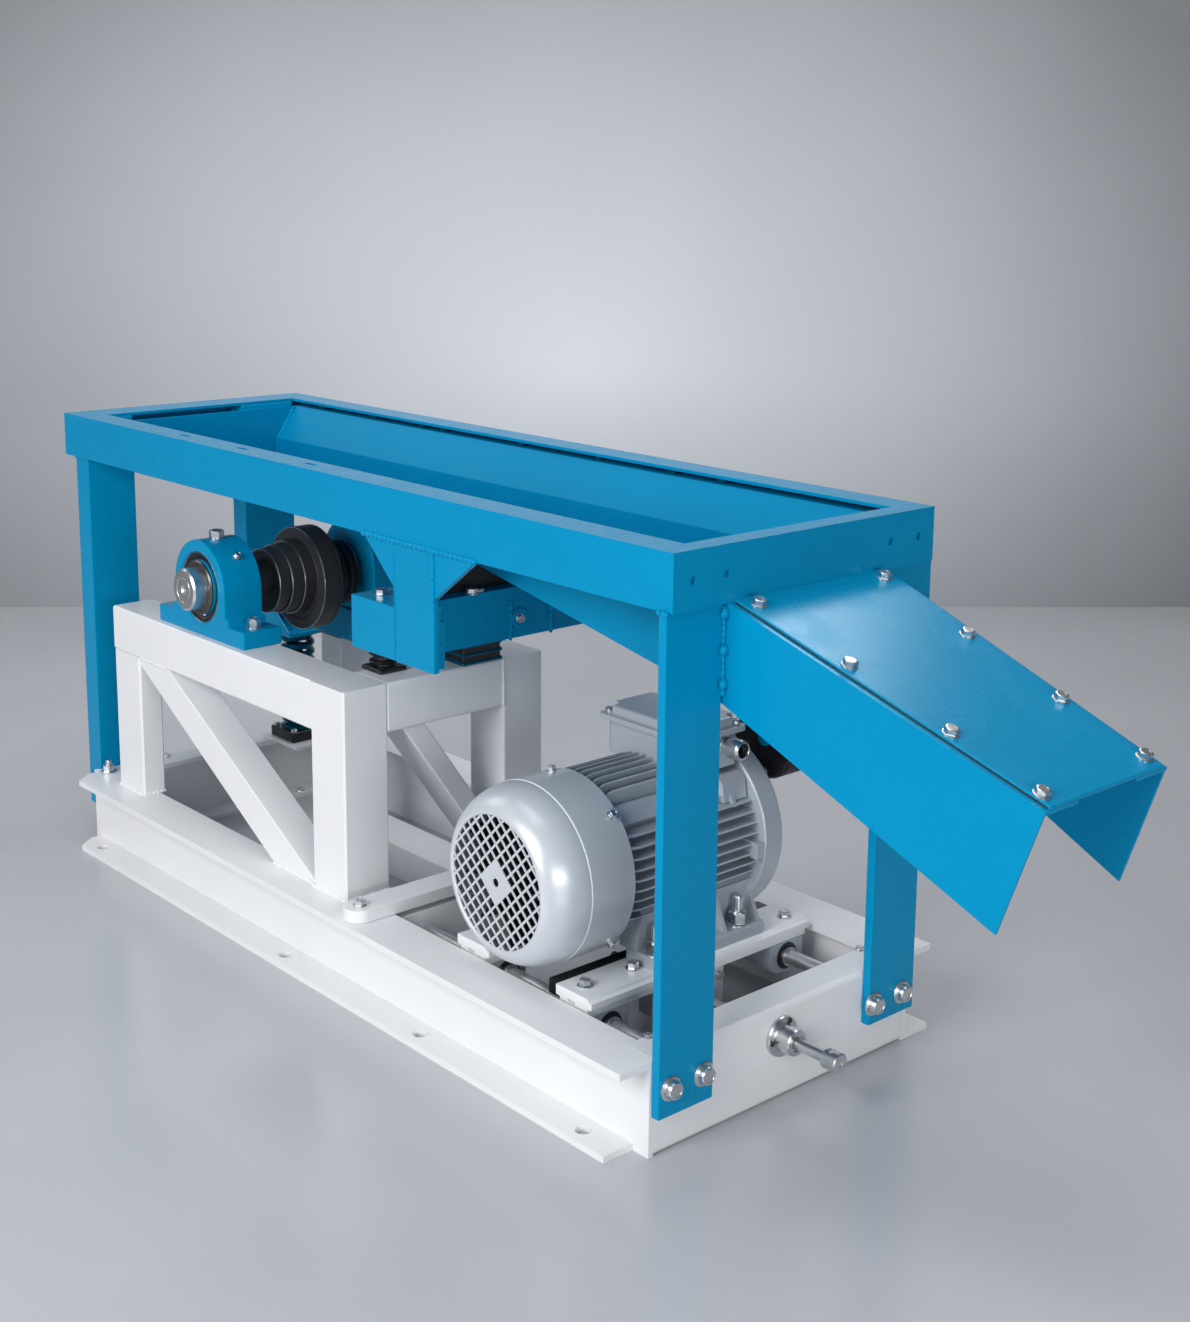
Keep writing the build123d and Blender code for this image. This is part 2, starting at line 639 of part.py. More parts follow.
for side in (-1, 1):
    inner = side * (beam_half - BACK_PLATE_THICK)
    cross_beam += block(beam_front, beam_front + BACK_PLATE_WIDE, side * beam_half, inner,
                        beam_bottom + 2, beam_bottom + 2 + BACK_PLATE_HIGH)
near_mount_x, near_mount_y = trestle_x - NEAR_MOUNT_FROM_FRONT, near_in + NEAR_MOUNT_FROM_POST
far_mount_x, far_mount_y = trestle_x - FAR_MOUNT_FROM_FRONT, far_y + TUBE_DEEP / 2
pad_x, pad_y = trestle_x - PAD_WIDE / 2, near_in + PAD_FROM_POST
bracket_top = beam_bottom + BRACKET_HIGH
for x, y, wide, long in (
    (near_mount_x, near_mount_y, BELLOWS_PLATE, BELLOWS_PLATE),
    (pad_x, pad_y, PAD_WIDE, PAD_LONG),
    (far_mount_x, far_mount_y, BELLOWS_PLATE, BELLOWS_PLATE),
):
    cross_beam += block(x - wide / 2, beam_rear, y - long / 2, y + long / 2, beam_bottom, bracket_top)
save("cross_beam", cross_beam)
save("beam_packing", block(beam_rear, beam_front - PACKING_SETBACK, -floor_half, floor_half,
                           beam_bottom + BEAM_HIGH, floor_z))

# Rubber mounts between the trestle and the cross beam's brackets
def bellows_mount(x, y):
    base_top = trestle_top + MOUNT_PLATE
    cap_bottom = beam_bottom - MOUNT_PLATE
    side = BELLOWS_PLATE / 2
    plates = block(x - side, x + side, y - side, y + side, trestle_top, base_top)
    plates += block(x - side, x + side, y - side, y + side, cap_bottom, beam_bottom)
    pitch = (cap_bottom - base_top) / BELLOWS_RING_COUNT
    points = [(0, base_top)]
    for i in range(BELLOWS_RING_COUNT):
        low = base_top + pitch * i
        points += [(BELLOWS_NECK / 2, low), (BELLOWS_DIA / 2, low + pitch / 2)]
    points += [(BELLOWS_NECK / 2, cap_bottom), (0, cap_bottom)]
    bellows = revolve(Plane.XZ * Polygon(*points, align=None), Axis.Z)
    return plates + Location((x, y, 0)) * bellows


save("bellows_mounts", bellows_mount(near_mount_x, near_mount_y) + bellows_mount(far_mount_x, far_mount_y))
pad_x0, pad_x1 = pad_x - PAD_WIDE / 2, pad_x + PAD_WIDE / 2
pad_y0, pad_y1 = pad_y - PAD_LONG / 2, pad_y + PAD_LONG / 2
pad = block(pad_x0, pad_x1, pad_y0, pad_y1, trestle_top, beam_bottom)
layer = (beam_bottom - trestle_top - PAD_STEEL) / PAD_LAYER_COUNT
for i in range(PAD_LAYER_COUNT):
    z0 = trestle_top + PAD_STEEL + layer * i
    z1 = z0 + layer - PAD_STEEL
    keep = block(pad_x0 + PAD_GROOVE, pad_x1 - PAD_GROOVE, pad_y0 + PAD_GROOVE, pad_y1 - PAD_GROOVE, z0, z1)
    pad -= block(pad_x0, pad_x1, pad_y0, pad_y1, z0, z1) - keep
save("laminated_pad", pad)

# Coil spring on its seat plate, under the shelf of the sprung leg
spring_x = rear + SPRING_FROM_REAR
spring_y = SPRING_FROM_MID
seat_top = BASE_HEIGHT + SEAT_HIGH
save("spring_seat", block(spring_x - SEAT_LONG / 2, spring_x + SEAT_LONG / 2, spring_y - SEAT_WIDE / 2,
                          spring_y + SEAT_WIDE / 2, BASE_HEIGHT, seat_top))
pad_top = seat_top + SPRING_PAD_HIGH
save("spring_rubber_base", block(spring_x - SPRING_PAD / 2, spring_x + SPRING_PAD / 2,
                                 spring_y - SPRING_PAD / 2, spring_y + SPRING_PAD / 2, seat_top, pad_top))
coil = rod_z(spring_x, spring_y, SPRING_DIA, pad_top, SPRING_TOP)
save("coil_spring", coil)


# Motor: finned body on two feet, fan cover, end shield, terminal box
def motor_body():
    body = rod_y(motor_x, motor_z, MOTOR_FINS, MOTOR_BODY_FRONT, MOTOR_BODY_BACK)
    for side in (-1, 1):
        outer = motor_x + side * (FOOT_SPACING / 2 + FOOT_WIDE / 2)
        inner = motor_x + side * (FOOT_SPACING / 2 - FOOT_WIDE / 2)
        body += block(inner, outer, FOOT_FRONT, FOOT_BACK, SLIDE_TOP, SLIDE_TOP + FOOT_THICK)
        web_in = inner - side * 30
        body += block(web_in, inner + side * FOOT_RIB, FOOT_FRONT, FOOT_BACK, SLIDE_TOP,
                      motor_z - FOOT_BELOW_AXIS)
    return body


save("motor_body", motor_body())
cover_back = MOTOR_BODY_FRONT
cover_front = cover_back - COVER_LENGTH
cover_r, dome = COVER_DIA / 2, COVER_DOME
save("fan_cover", turned_y(
    [(0, cover_front), (cover_r - dome, cover_front), (cover_r - dome / 4, cover_front + dome / 3),
     (cover_r, cover_front + dome), (cover_r, cover_back), (0, cover_back)], motor_x, motor_z))
shield_back = MOTOR_BODY_BACK + SHIELD_THICK
save("drive_end_shield", turned_y(
    [(0, MOTOR_BODY_BACK), (SHIELD_DIA / 2, MOTOR_BODY_BACK), (SHIELD_DIA / 2, shield_back),
     (SHIELD_BOSS_DIA / 2, shield_back), (SHIELD_BOSS_DIA / 2 - SHIELD_TAPER, shield_back + SHIELD_BOSS),
     (0, shield_back + SHIELD_BOSS)], motor_x, motor_z))
shaft_start = shield_back + SHIELD_BOSS
save("motor_shaft_end", rod_y(motor_x, motor_z, MOTOR_SHAFT_DIA, shaft_start,
                              shaft_start + MOTOR_SHAFT_LENGTH))
box = block(motor_x - BOX_LONG / 2, motor_x + BOX_LONG / 2, BOX_MID - BOX_WIDE / 2, BOX_MID + BOX_WIDE / 2,
            BOX_BOTTOM, BOX_TOP)
gland_z = BOX_TOP - GLAND_DOWN
gland_y = BOX_MID + GLAND_ALONG
box += rod_x(gland_y, gland_z, GLAND_DIA, motor_x + BOX_LONG / 2, motor_x + BOX_LONG / 2 + GLAND_LENGTH)
box += block(motor_x - BOX_NECK / 2, motor_x + BOX_NECK / 2, BOX_MID - BOX_NECK_WIDE / 2,
             BOX_MID + BOX_NECK_WIDE / 2, motor_z, BOX_BOTTOM)
box -= rod_y(motor_x, motor_z, MOTOR_FINS, MOTOR_BODY_FRONT, MOTOR_BODY_BACK)
box -= rod_y(motor_x, motor_z, SHIELD_DIA, MOTOR_BODY_BACK, MOTOR_BODY_BACK + SHIELD_THICK)
save("terminal_box", box)
lid_x, lid_side = BOX_LONG / 2 + LID_REACH, BOX_WIDE / 2 + LID_REACH
lid_top = BOX_TOP + LID_LIP
save("terminal_lid",
     block(motor_x - lid_x, motor_x + lid_x, BOX_MID - lid_side, BOX_MID + lid_side, BOX_TOP, lid_top)
     + block(motor_x - BOX_LONG / 2, motor_x + BOX_LONG / 2, BOX_MID - BOX_WIDE / 2, BOX_MID + BOX_WIDE / 2,
             lid_top, lid_top + LID_RISE))


# Slide: two bars on bush blocks that run on guide rods, moved by a lead screw
def slide_bar(x):
    bar = block(x - SLIDE_BAR_WIDE / 2, x + SLIDE_BAR_WIDE / 2, -SLIDE_BAR_LONG / 2, SLIDE_BAR_LONG / 2,
                SLIDE_TOP - SLIDE_BAR_THICK, SLIDE_TOP)
    inset = SLIDE_STEP_INSET
    return bar + block(x - SLIDE_BAR_WIDE / 2 + inset, x + SLIDE_BAR_WIDE / 2 - inset,
                       -SLIDE_BAR_LONG / 2 + inset, SLIDE_BAR_LONG / 2 - inset,
                       SLIDE_TOP - SLIDE_BAR_THICK - SLIDE_STEP_THICK, SLIDE_TOP - SLIDE_BAR_THICK)


def bush_block(x, side):
    y = side * ROD_SPACING / 2
    top = SLIDE_TOP - SLIDE_BAR_THICK - SLIDE_STEP_THICK
    bush = block(x - BUSH_LONG / 2, x + BUSH_LONG / 2, y - BUSH_WIDE / 2, y + BUSH_WIDE / 2, BUSH_BOTTOM, top)
    return bush - rod_x(y, ROD_HEIGHT, ROD_DIA + 2 * FIT_CLEARANCE, x - BUSH_LONG, x + BUSH_LONG)


bar_front = motor_x + SLIDE_BAR_OFFSET
bar_rear = motor_x - SLIDE_BAR_OFFSET
save("slide_bars", slide_bar(bar_front) + slide_bar(bar_rear))
save("bush_blocks", bush_block(bar_front, -1) + bush_block(bar_front, 1)
     + bush_block(bar_rear, -1) + bush_block(bar_rear, 1))
damper_front = bar_front - SLIDE_BAR_WIDE / 2
save("damper_strip", block(damper_front - DAMPER_WIDE, damper_front, -SLIDE_BAR_LONG / 2 + SLIDE_STEP_INSET,
                           SLIDE_BAR_LONG / 2 - SLIDE_STEP_INSET, SLIDE_TOP - DAMPER_HIGH, SLIDE_TOP - 2))
nut_top = SLIDE_TOP - SLIDE_BAR_THICK - SLIDE_STEP_THICK
nut = block(bar_front - NUT_LONG / 2, bar_front + NUT_LONG / 2, SCREW_SIDE - NUT_WIDE / 2,
            SCREW_SIDE + NUT_WIDE / 2, NUT_BOTTOM, nut_top)
save("nut_block", nut - rod_x(SCREW_SIDE, SCREW_HEIGHT, SCREW_DIA + 2 * FIT_CLEARANCE,
                              bar_front - NUT_LONG, bar_front + NUT_LONG))
guide_rod = rod_x(-ROD_SPACING / 2, ROD_HEIGHT, ROD_DIA, member_front, front - BEAM_WEB)
save("guide_rods", guide_rod + mirrored(guide_rod))
collar_end = front + COLLAR_FLANGE + COLLAR_LENGTH
collar = rod_x(SCREW_SIDE, SCREW_HEIGHT, COLLAR_FLANGE_DIA, front, front + COLLAR_FLANGE)
collar += rod_x(SCREW_SIDE, SCREW_HEIGHT, COLLAR_DIA, front + COLLAR_FLANGE, collar_end)
save("screw_collar", collar - rod_x(SCREW_SIDE, SCREW_HEIGHT, SCREW_DIA + 2 * FIT_CLEARANCE,
                                    front - 1, collar_end + 1))
screw = rod_x(SCREW_SIDE, SCREW_HEIGHT, SCREW_DIA, front - SCREW_INNER, front + SCREW_OUT - SCREW_CAP_LONG)
screw += rod_x(SCREW_SIDE, SCREW_HEIGHT, SCREW_CAP_DIA, front + SCREW_OUT - SCREW_CAP_LONG,
               front + SCREW_OUT)
save("lead_screw", screw)

# Ribbed drum on a stub axle, held by a strap under the far side of the rim
drum_x = front - DRUM_FROM_END
drum_y1 = rim_half - HANGER_THICK
drum_y0 = drum_y1 - DRUM_WIDTH
drum_section = grooved_section(DRUM_DIA / 2, DRUM_AXLE_DIA / 2, drum_y0, drum_y1, DRUM_GROOVE_COUNT, DRUM_RIB_DEPTH)
save("ribbed_drum", turned_y(drum_section, drum_x, drum_z))
drum_strap = block(drum_x - DRUM_STRAP_WIDE / 2, drum_x + DRUM_STRAP_WIDE / 2, drum_y1, rim_half,
                   drum_z, rim_bottom)
drum_strap += rod_y(drum_x, drum_z, DRUM_STRAP_WIDE, drum_y1, rim_half)
drum_strap += rod_y(drum_x, drum_z, DRUM_AXLE_DIA, drum_y0, drum_y1)
save("drum_hanger", drum_strap)
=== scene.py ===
import math

import bpy
from mathutils import Matrix, Vector


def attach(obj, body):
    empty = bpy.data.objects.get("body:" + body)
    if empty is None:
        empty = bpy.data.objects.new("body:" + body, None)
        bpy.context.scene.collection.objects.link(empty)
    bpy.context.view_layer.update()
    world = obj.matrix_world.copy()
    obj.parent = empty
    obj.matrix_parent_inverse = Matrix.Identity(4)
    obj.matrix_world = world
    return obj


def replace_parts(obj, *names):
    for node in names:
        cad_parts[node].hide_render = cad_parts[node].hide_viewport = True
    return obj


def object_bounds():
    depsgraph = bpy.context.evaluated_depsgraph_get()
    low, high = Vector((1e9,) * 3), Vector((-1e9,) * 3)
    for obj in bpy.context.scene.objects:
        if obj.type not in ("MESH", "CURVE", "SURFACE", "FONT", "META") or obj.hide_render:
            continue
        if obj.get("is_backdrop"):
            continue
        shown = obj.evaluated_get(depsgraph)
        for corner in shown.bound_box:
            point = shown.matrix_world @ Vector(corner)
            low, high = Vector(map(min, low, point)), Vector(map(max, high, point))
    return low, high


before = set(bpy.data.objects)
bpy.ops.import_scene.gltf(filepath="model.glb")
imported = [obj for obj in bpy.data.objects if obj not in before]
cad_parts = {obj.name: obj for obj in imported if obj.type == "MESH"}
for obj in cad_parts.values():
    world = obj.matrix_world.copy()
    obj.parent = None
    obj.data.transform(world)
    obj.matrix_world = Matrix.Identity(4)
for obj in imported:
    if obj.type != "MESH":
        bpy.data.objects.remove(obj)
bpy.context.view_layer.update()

# Camera. It stands off the outlet end and the near long side, a little above the rim, and looks
# slightly down. Its lens and place were solved from the straight edges of the base and rim.
LENS, SENSOR, SHIFT, FAR_CLIP = 50.5, 36, -0.1067, 100
YAW, PITCH, ROLL = math.radians(48.37), math.radians(10.87), math.radians(0.5)
STAND = (2.2865, -1.716, 1.22)
ahead = Vector((-math.sin(YAW) * math.cos(PITCH), math.cos(YAW) * math.cos(PITCH), -math.sin(PITCH)))
level = Vector((math.cos(YAW), math.sin(YAW), 0))
upright = level.cross(ahead)
right = math.cos(ROLL) * level + math.sin(ROLL) * upright
above = -math.sin(ROLL) * level + math.cos(ROLL) * upright
bpy.ops.object.select_all(action="DESELECT")
bpy.ops.object.camera_add(location=STAND)
camera = bpy.context.object
camera.rotation_euler = Matrix((right, above, -ahead)).transposed().to_euler()
camera.data.lens, camera.data.sensor_width, camera.data.shift_y = LENS, SENSOR, SHIFT
camera.data.clip_end = FAR_CLIP
bpy.context.scene.camera = camera
bpy.context.scene.view_settings.view_transform = "Standard"


class Socket:
    """A shader socket that takes part in sums, so that a finish is written as one expression."""

    def __init__(self, tree, out):
        self.tree, self.out = tree, out

    def node(self, kind, settings=(), **inputs):
        """Adds a node. An input is given by its name, or by its number as i0, i1 and so on."""
        made = self.tree.nodes.new(kind)
        for key, value in dict(settings).items():
            setattr(made, key, value)
        for key, value in inputs.items():
            socket = made.inputs[int(key[1:])] if key[1:].isdigit() else made.inputs[key.replace("_", " ")]
            if isinstance(value, Socket):
                self.tree.links.new(value.out, socket)
            else:
                socket.default_value = value
        return made

    def get(self, kind, settings=(), out=0, **inputs):
        return Socket(self.tree, self.node(kind, settings, **inputs).outputs[out])

    def sum(self, operation, first, second=0.0):
        return self.get("ShaderNodeMath", {"operation": operation}, i0=first, i1=second)

    def __add__(self, other): return self.sum("ADD", self, other)
    def __radd__(self, other): return self.sum("ADD", other, self)
    def __rsub__(self, other): return self.sum("SUBTRACT", other, self)
    def __rmul__(self, other): return self.sum("MULTIPLY", other, self)

    def between(self, low, high):
        """Rises from 0 at low to 1 at high and stays there."""
        return self.get("ShaderNodeMapRange", {"clamp": True}, Value=self, From_Min=low, From_Max=high)

    def mix(self, first, second):
        """The first colour where self is 0, and the second where it is 1."""
        colours = [c if isinstance(c, Socket) else (*c, 1) for c in (first, second)]
        return self.get("ShaderNodeMix", {"data_type": "RGBA"}, out=2, i0=self, i6=colours[0], i7=colours[1])


def finish_named(name, **fixed):
    """A new material: gives it, its shader, and a socket with the place on the object."""
    material = bpy.data.materials.new(name)
    material.use_nodes = True
    shader = material.node_tree.nodes["Principled BSDF"]
    for key, value in fixed.items():
        shader.inputs[key.replace("_", " ")].default_value = value
    place = Socket(material.node_tree, None).get("ShaderNodeTexCoord", out=3)
    return material, shader, place


def feed(shader, **sockets):
    """Links values to the shader's inputs of the same name."""
    for key, value in sockets.items():
        value.tree.links.new(value.out, shader.inputs[key.replace("_", " ")])


def cloud(place, scale, detail=3.0, rough=0.55):
    """Soft noise from 0 to 1 over the object."""
    return place.get("ShaderNodeTexNoise", Vector=place, Scale=scale, Detail=detail, Roughness=rough)


def raised(height, strength, depth):
    """The bumps that a height makes, of a depth in metres."""
    return height.get("ShaderNodeBump", Strength=strength, Distance=depth, Height=height)


def shade(colour, factor):
    """A colour made lighter or darker by a factor."""
    return tuple(factor * c for c in colour)


# Room. A polished concrete floor meets a pale wall close behind, lit by large soft lamps, as in a
# works photograph. The wall's colour carries a painted glow. They aren't part of the machine.
FLOOR_TONE, WALL_TONE = (0.50, 0.51, 0.54), (0.36, 0.375, 0.40)
FLOOR_SIZE = 30
WALL_FOOT = Vector((-2.543, 0.374, 0)), Vector((-0.42, 2.949, 0))
WALL_SPREAD, WALL_HEIGHT = 3.0, 9.0
GLOW_HEIGHT, GLOW_SQUEEZE, GLOW_RADIUS = 1.0, 1.5, 2.1
bpy.ops.mesh.primitive_plane_add(size=FLOOR_SIZE)
floor = bpy.context.object
floor.name = "floor"
concrete, shader, place = finish_named("polished_concrete", Specular_IOR_Level=0.6)
drift = cloud(place, 0.7, 1.0)
stain = cloud(place, 2.6, 2.0, 0.4)
grain = cloud(place, 26.0, 4.0, 0.6)
worn = drift.mix(stain.mix(shade(FLOOR_TONE, 0.84), FLOOR_TONE),
                 stain.mix(FLOOR_TONE, shade(FLOOR_TONE, 1.12)))
feed(shader, Base_Color=worn, Roughness=0.17 + 0.06 * stain, Normal=raised(grain, 0.1, 0.003))
floor.data.materials.append(concrete)
floor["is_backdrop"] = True
wall_run = (WALL_FOOT[1] - WALL_FOOT[0]) * WALL_SPREAD
wall_middle = (WALL_FOOT[0] + WALL_FOOT[1]) / 2
bpy.ops.mesh.primitive_plane_add(size=1, rotation=(math.pi / 2, 0, math.atan2(wall_run.y, wall_run.x)),
                                 location=wall_middle + Vector((0, 0, WALL_HEIGHT / 2)))
wall = bpy.context.object
wall.name = "back_wall"
wall.scale = (wall_run.length, WALL_HEIGHT, 1)
bpy.ops.object.transform_apply(location=True, rotation=True, scale=True)
plaster, shader, place = finish_named("wall_with_painted_glow", Roughness=0.85)
# The wall's colour is painted lighter round a point near its middle, squeezed in height, and darker away from it. This
# is a painted pool of light, with a faint random mottle on top.
squeezed = place.get("ShaderNodeVectorMath", {"operation": "MULTIPLY"}, i0=place, i1=(1, 1, GLOW_SQUEEZE))
from_glow = place.get("ShaderNodeVectorMath", {"operation": "DISTANCE"}, out=1, i0=squeezed,
                      i1=(wall_middle.x - 0.05, wall_middle.y - 0.06, GLOW_HEIGHT))
glow = 1.0 - from_glow.between(0.0, GLOW_RADIUS)
lightness = 0.92 * glow + 0.16 * cloud(place, 0.9, 2.0)
feed(shader, Base_Color=lightness.mix(shade(WALL_TONE, 0.52), shade(WALL_TONE, 2.3)))
wall.data.materials.append(plaster)
wall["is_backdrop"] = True
world = bpy.data.worlds.new("studio")
bpy.context.scene.world = world
world.use_nodes = True
sky = world.node_tree.nodes["Background"].inputs
sky["Color"].default_value, sky["Strength"].default_value = (0.86, 0.90, 0.96, 1), 0.17


def lamp(name, place, aim, size, watts, height=None):
    """A soft lamp that looks at its aim: square, or of its own height."""
    bpy.ops.object.light_add(type="AREA", location=place)
    made = bpy.context.object
    made.name = name
    made.data.shape, made.data.size, made.data.size_y = "RECTANGLE", size, height or size
    made.data.energy = watts
    made.rotation_euler = (Vector(aim) - Vector(place)).to_track_quat("-Z", "Y").to_euler()


lamp("window_side", (0.9, -4.0, 2.3), (0, 0, 0.4), 2.6, 156)
lamp("ceiling", (0.2, 0.4, 4.0), (0, 0, 0.4), 3.2, 58)
lamp("outlet_side", (3.9, -1.5, 0.9), (0.3, -0.1, 0.3), 2.0, 46, 0.9)
lamp("back_panel", (-0.4, 2.1, 2.85), (0.8, 0, 0.65), 0.8, 17)
lamp("rear_soft", (-2.3, -0.8, 2.3), (0, 0, 0.6), 1.3, 8)


# Base frame. Two channels with their flanges outwards run the whole length, and two more close the
# ends. They are rolled steel, welded at the corners, in white gloss enamel over slightly rolled edges.
MM = 0.001
MEET = 0.02 * MM
SAME_FACE, SMOOTH_ANGLE = math.radians(1), math.radians(38)


def alone(piece):
    """Selects a piece and nothing else."""
    bpy.ops.object.select_all(action="DESELECT")
    piece.select_set(True)
    bpy.context.view_layer.objects.active = piece


def modified(piece, kind, **settings):
    """Adds a modifier to a piece and applies it."""
    alone(piece)
    bpy.ops.object.modifier_add(type=kind)
    for key, value in settings.items():
        setattr(piece.modifiers[-1], key, value)
    bpy.ops.object.modifier_apply(modifier=piece.modifiers[-1].name)


def finished(piece, finish, width=0.0, steps=2):
    """Rounds a piece's edges by width, smooths it, and puts its finish on."""
    if width:
        modified(piece, "BEVEL", width=width, segments=steps, limit_method="ANGLE",
                 angle_limit=math.radians(30))
    alone(piece)
    bpy.ops.object.shade_smooth_by_angle(angle=SMOOTH_ANGLE)
    modified(piece, "WEIGHTED_NORMAL", keep_sharp=True)
    piece.data.materials.clear()
    piece.data.materials.append(finish)
    return piece


def settled(piece, name, body, slot, *nodes):
    """Names a piece and says which body it rides on and the nodes it stands for. Its slot is not used."""
    piece.name = piece.data.name = name
    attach(piece, body)
    if nodes:
        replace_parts(piece, *nodes)
    return piece


def from_solid(node, finish, width, body="base", slot="white_paint", steps=2, cut=None):
    """A node's own shape with whole faces, what cut does to it, and rounded edges, in its real finish."""
    piece = bpy.data.objects.new(node + "_shape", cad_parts[node].data.copy())
    bpy.context.scene.collection.objects.link(piece)
    alone(piece)
    bpy.ops.mesh.customdata_custom_splitnormals_clear()
    bpy.ops.object.mode_set(mode="EDIT")
    bpy.ops.mesh.select_all(action="SELECT")
    bpy.ops.mesh.remove_doubles(threshold=MEET)
    bpy.ops.mesh.dissolve_limited(angle_limit=SAME_FACE)
    bpy.ops.object.mode_set(mode="OBJECT")
    if cut:
        cut(piece)
    return settled(finished(piece, finish, width, steps), node + "_shape", body, slot, node)


def enamel(name, tone, sheen=0.3, tint=(1, 1, 1), flake=0.0):
    """Gloss enamel: a slightly uneven coat with a fine orange peel and faint rubbed places."""
    paint, shader, place = finish_named(name, Specular_IOR_Level=0.35, Specular_Tint=(*tint, 1), Metallic=flake)
    drift = cloud(place, 2.2, 3.0).between(0.3, 0.7)
    rubbed = cloud(place, 16.0, 5.0, 0.62).between(0.5, 0.8)
    peel = cloud(place, 420.0, 2.0, 0.4) + 0.35 * cloud(place, 60.0, 2.0, 0.5)
    feed(shader, Base_Color=rubbed.mix(drift.mix(shade(tone, 0.96), shade(tone, 1.03)), shade(tone, 1.015)),
         Roughness=sheen + 0.1 * rubbed, Normal=raised(peel, 0.04, 0.0005))
    return paint


WHITE = (0.81, 0.82, 0.84)
white_enamel = enamel("white_enamel", WHITE)
EDGE = 0.0018


def traced(points):
    """Draws a line through points in mm by extruding one vertex, and leaves it open in edit mode."""
    bpy.ops.object.select_all(action="DESELECT")
    bpy.ops.mesh.primitive_plane_add(size=MM)
    bpy.ops.object.mode_set(mode="EDIT")
    bpy.ops.mesh.select_all(action="SELECT")
    bpy.ops.mesh.merge(type="CENTER")
    bpy.ops.transform.translate(value=Vector(points[0]) * MM)
    for start, end in zip(points, points[1:]):
        bpy.ops.mesh.extrude_region_move(
            TRANSFORM_OT_translate={"value": (Vector(end) - Vector(start)) * MM})
    bpy.ops.mesh.select_all(action="SELECT")
    return bpy.context.object


def outward(piece):
    """Merges what meets and turns every face outwards."""
    alone(piece)
    bpy.ops.object.mode_set(mode="EDIT")
    bpy.ops.mesh.select_all(action="SELECT")
    bpy.ops.mesh.remove_doubles(threshold=MEET)
    bpy.ops.mesh.normals_make_consistent(inside=False)
    bpy.ops.object.mode_set(mode="OBJECT")
    return piece


def turned(outline, place=(0, 0, 0), direction=(0, 0, 1), around=48):
    """A lathe-turned piece: (radius, distance) points in mm, spun about the line through place."""
    made = traced([(radius, 0, along) for radius, along in outline])
    bpy.ops.mesh.spin(steps=around, angle=2 * math.pi, center=(0, 0, 0), axis=(0, 0, 1))
    bpy.ops.object.mode_set(mode="OBJECT")
    stand = Vector(direction).to_track_quat("Z", "Y").to_matrix().to_4x4()
    made.data.transform(Matrix.Translation(Vector(place) * MM) @ stand)
    return outward(made)


def plate(outline, low, high, across="Y"):
    """A plate cut to an outline in mm, from low to high along one axis."""
    made = traced([(u, v, low) for u, v in outline])
    bpy.ops.mesh.edge_face_add()
    bpy.ops.mesh.extrude_region_move(TRANSFORM_OT_translate={"value": (0, 0, (high - low) * MM)})
    bpy.ops.object.mode_set(mode="OBJECT")
    rows = {"X": ((0, 0, 1), (1, 0, 0), (0, 1, 0)), "Y": ((1, 0, 0), (0, 0, 1), (0, 1, 0)),
            "Z": ((1, 0, 0), (0, 1, 0), (0, 0, 1))}[across]
    made.data.transform(Matrix(rows).to_4x4())
    return outward(made)


def bar(low, high):
    """A square-cornered bar from one corner to the other, in mm."""
    (x0, y0, z0), (x1, y1, z1) = low, high
    return plate([(x0, y0), (x1, y0), (x1, y1), (x0, y1)], z0, z1, "Z")


def joined(pieces):
    """Makes one piece of several."""
    bpy.ops.object.select_all(action="DESELECT")
    for piece in pieces:
        piece.select_set(True)
    bpy.context.view_layer.objects.active = pieces[0]
    if len(pieces) > 1:
        bpy.ops.object.join()
    return pieces[0]


def trimmed(piece, tool, operation="DIFFERENCE"):
    """Cuts a piece with a tool shape, adds it, or keeps what both share, and takes the tool away."""
    modified(piece, "BOOLEAN", object=tool, operation=operation, solver="EXACT")
    bpy.data.objects.remove(tool)
    return piece


def repeated(piece, count, step):
    """Sets count copies of a piece in a row, each a step in mm from the last."""
    modified(piece, "ARRAY", count=count, use_relative_offset=False, use_constant_offset=True,
             constant_offset_displace=Vector(step) * MM)
    return piece


def stripped(model):
    """Takes a model's mesh out of the scene, to be copied from."""
    mesh = model.data
    bpy.data.objects.remove(model)
    return mesh


def set_out(name, mesh, places, finish, body="base", slot="bright_steel"):
    """One copy of a mesh at each place, its own Z along the given direction, joined as one piece."""
    pieces = []
    for place, direction, *turn in places:
        copy = bpy.data.objects.new(name, mesh.copy())
        stand = Vector(direction).to_track_quat("Z", "Y").to_matrix().to_4x4()
        spin = Matrix.Rotation(math.radians(turn[0] if turn else 0), 4, "Z")
        copy.data.transform(Matrix.Translation(Vector(place) * MM) @ stand @ spin)
        bpy.context.scene.collection.objects.link(copy)
        pieces.append(copy)
    return settled(finished(joined(pieces), finish), name, body, slot)


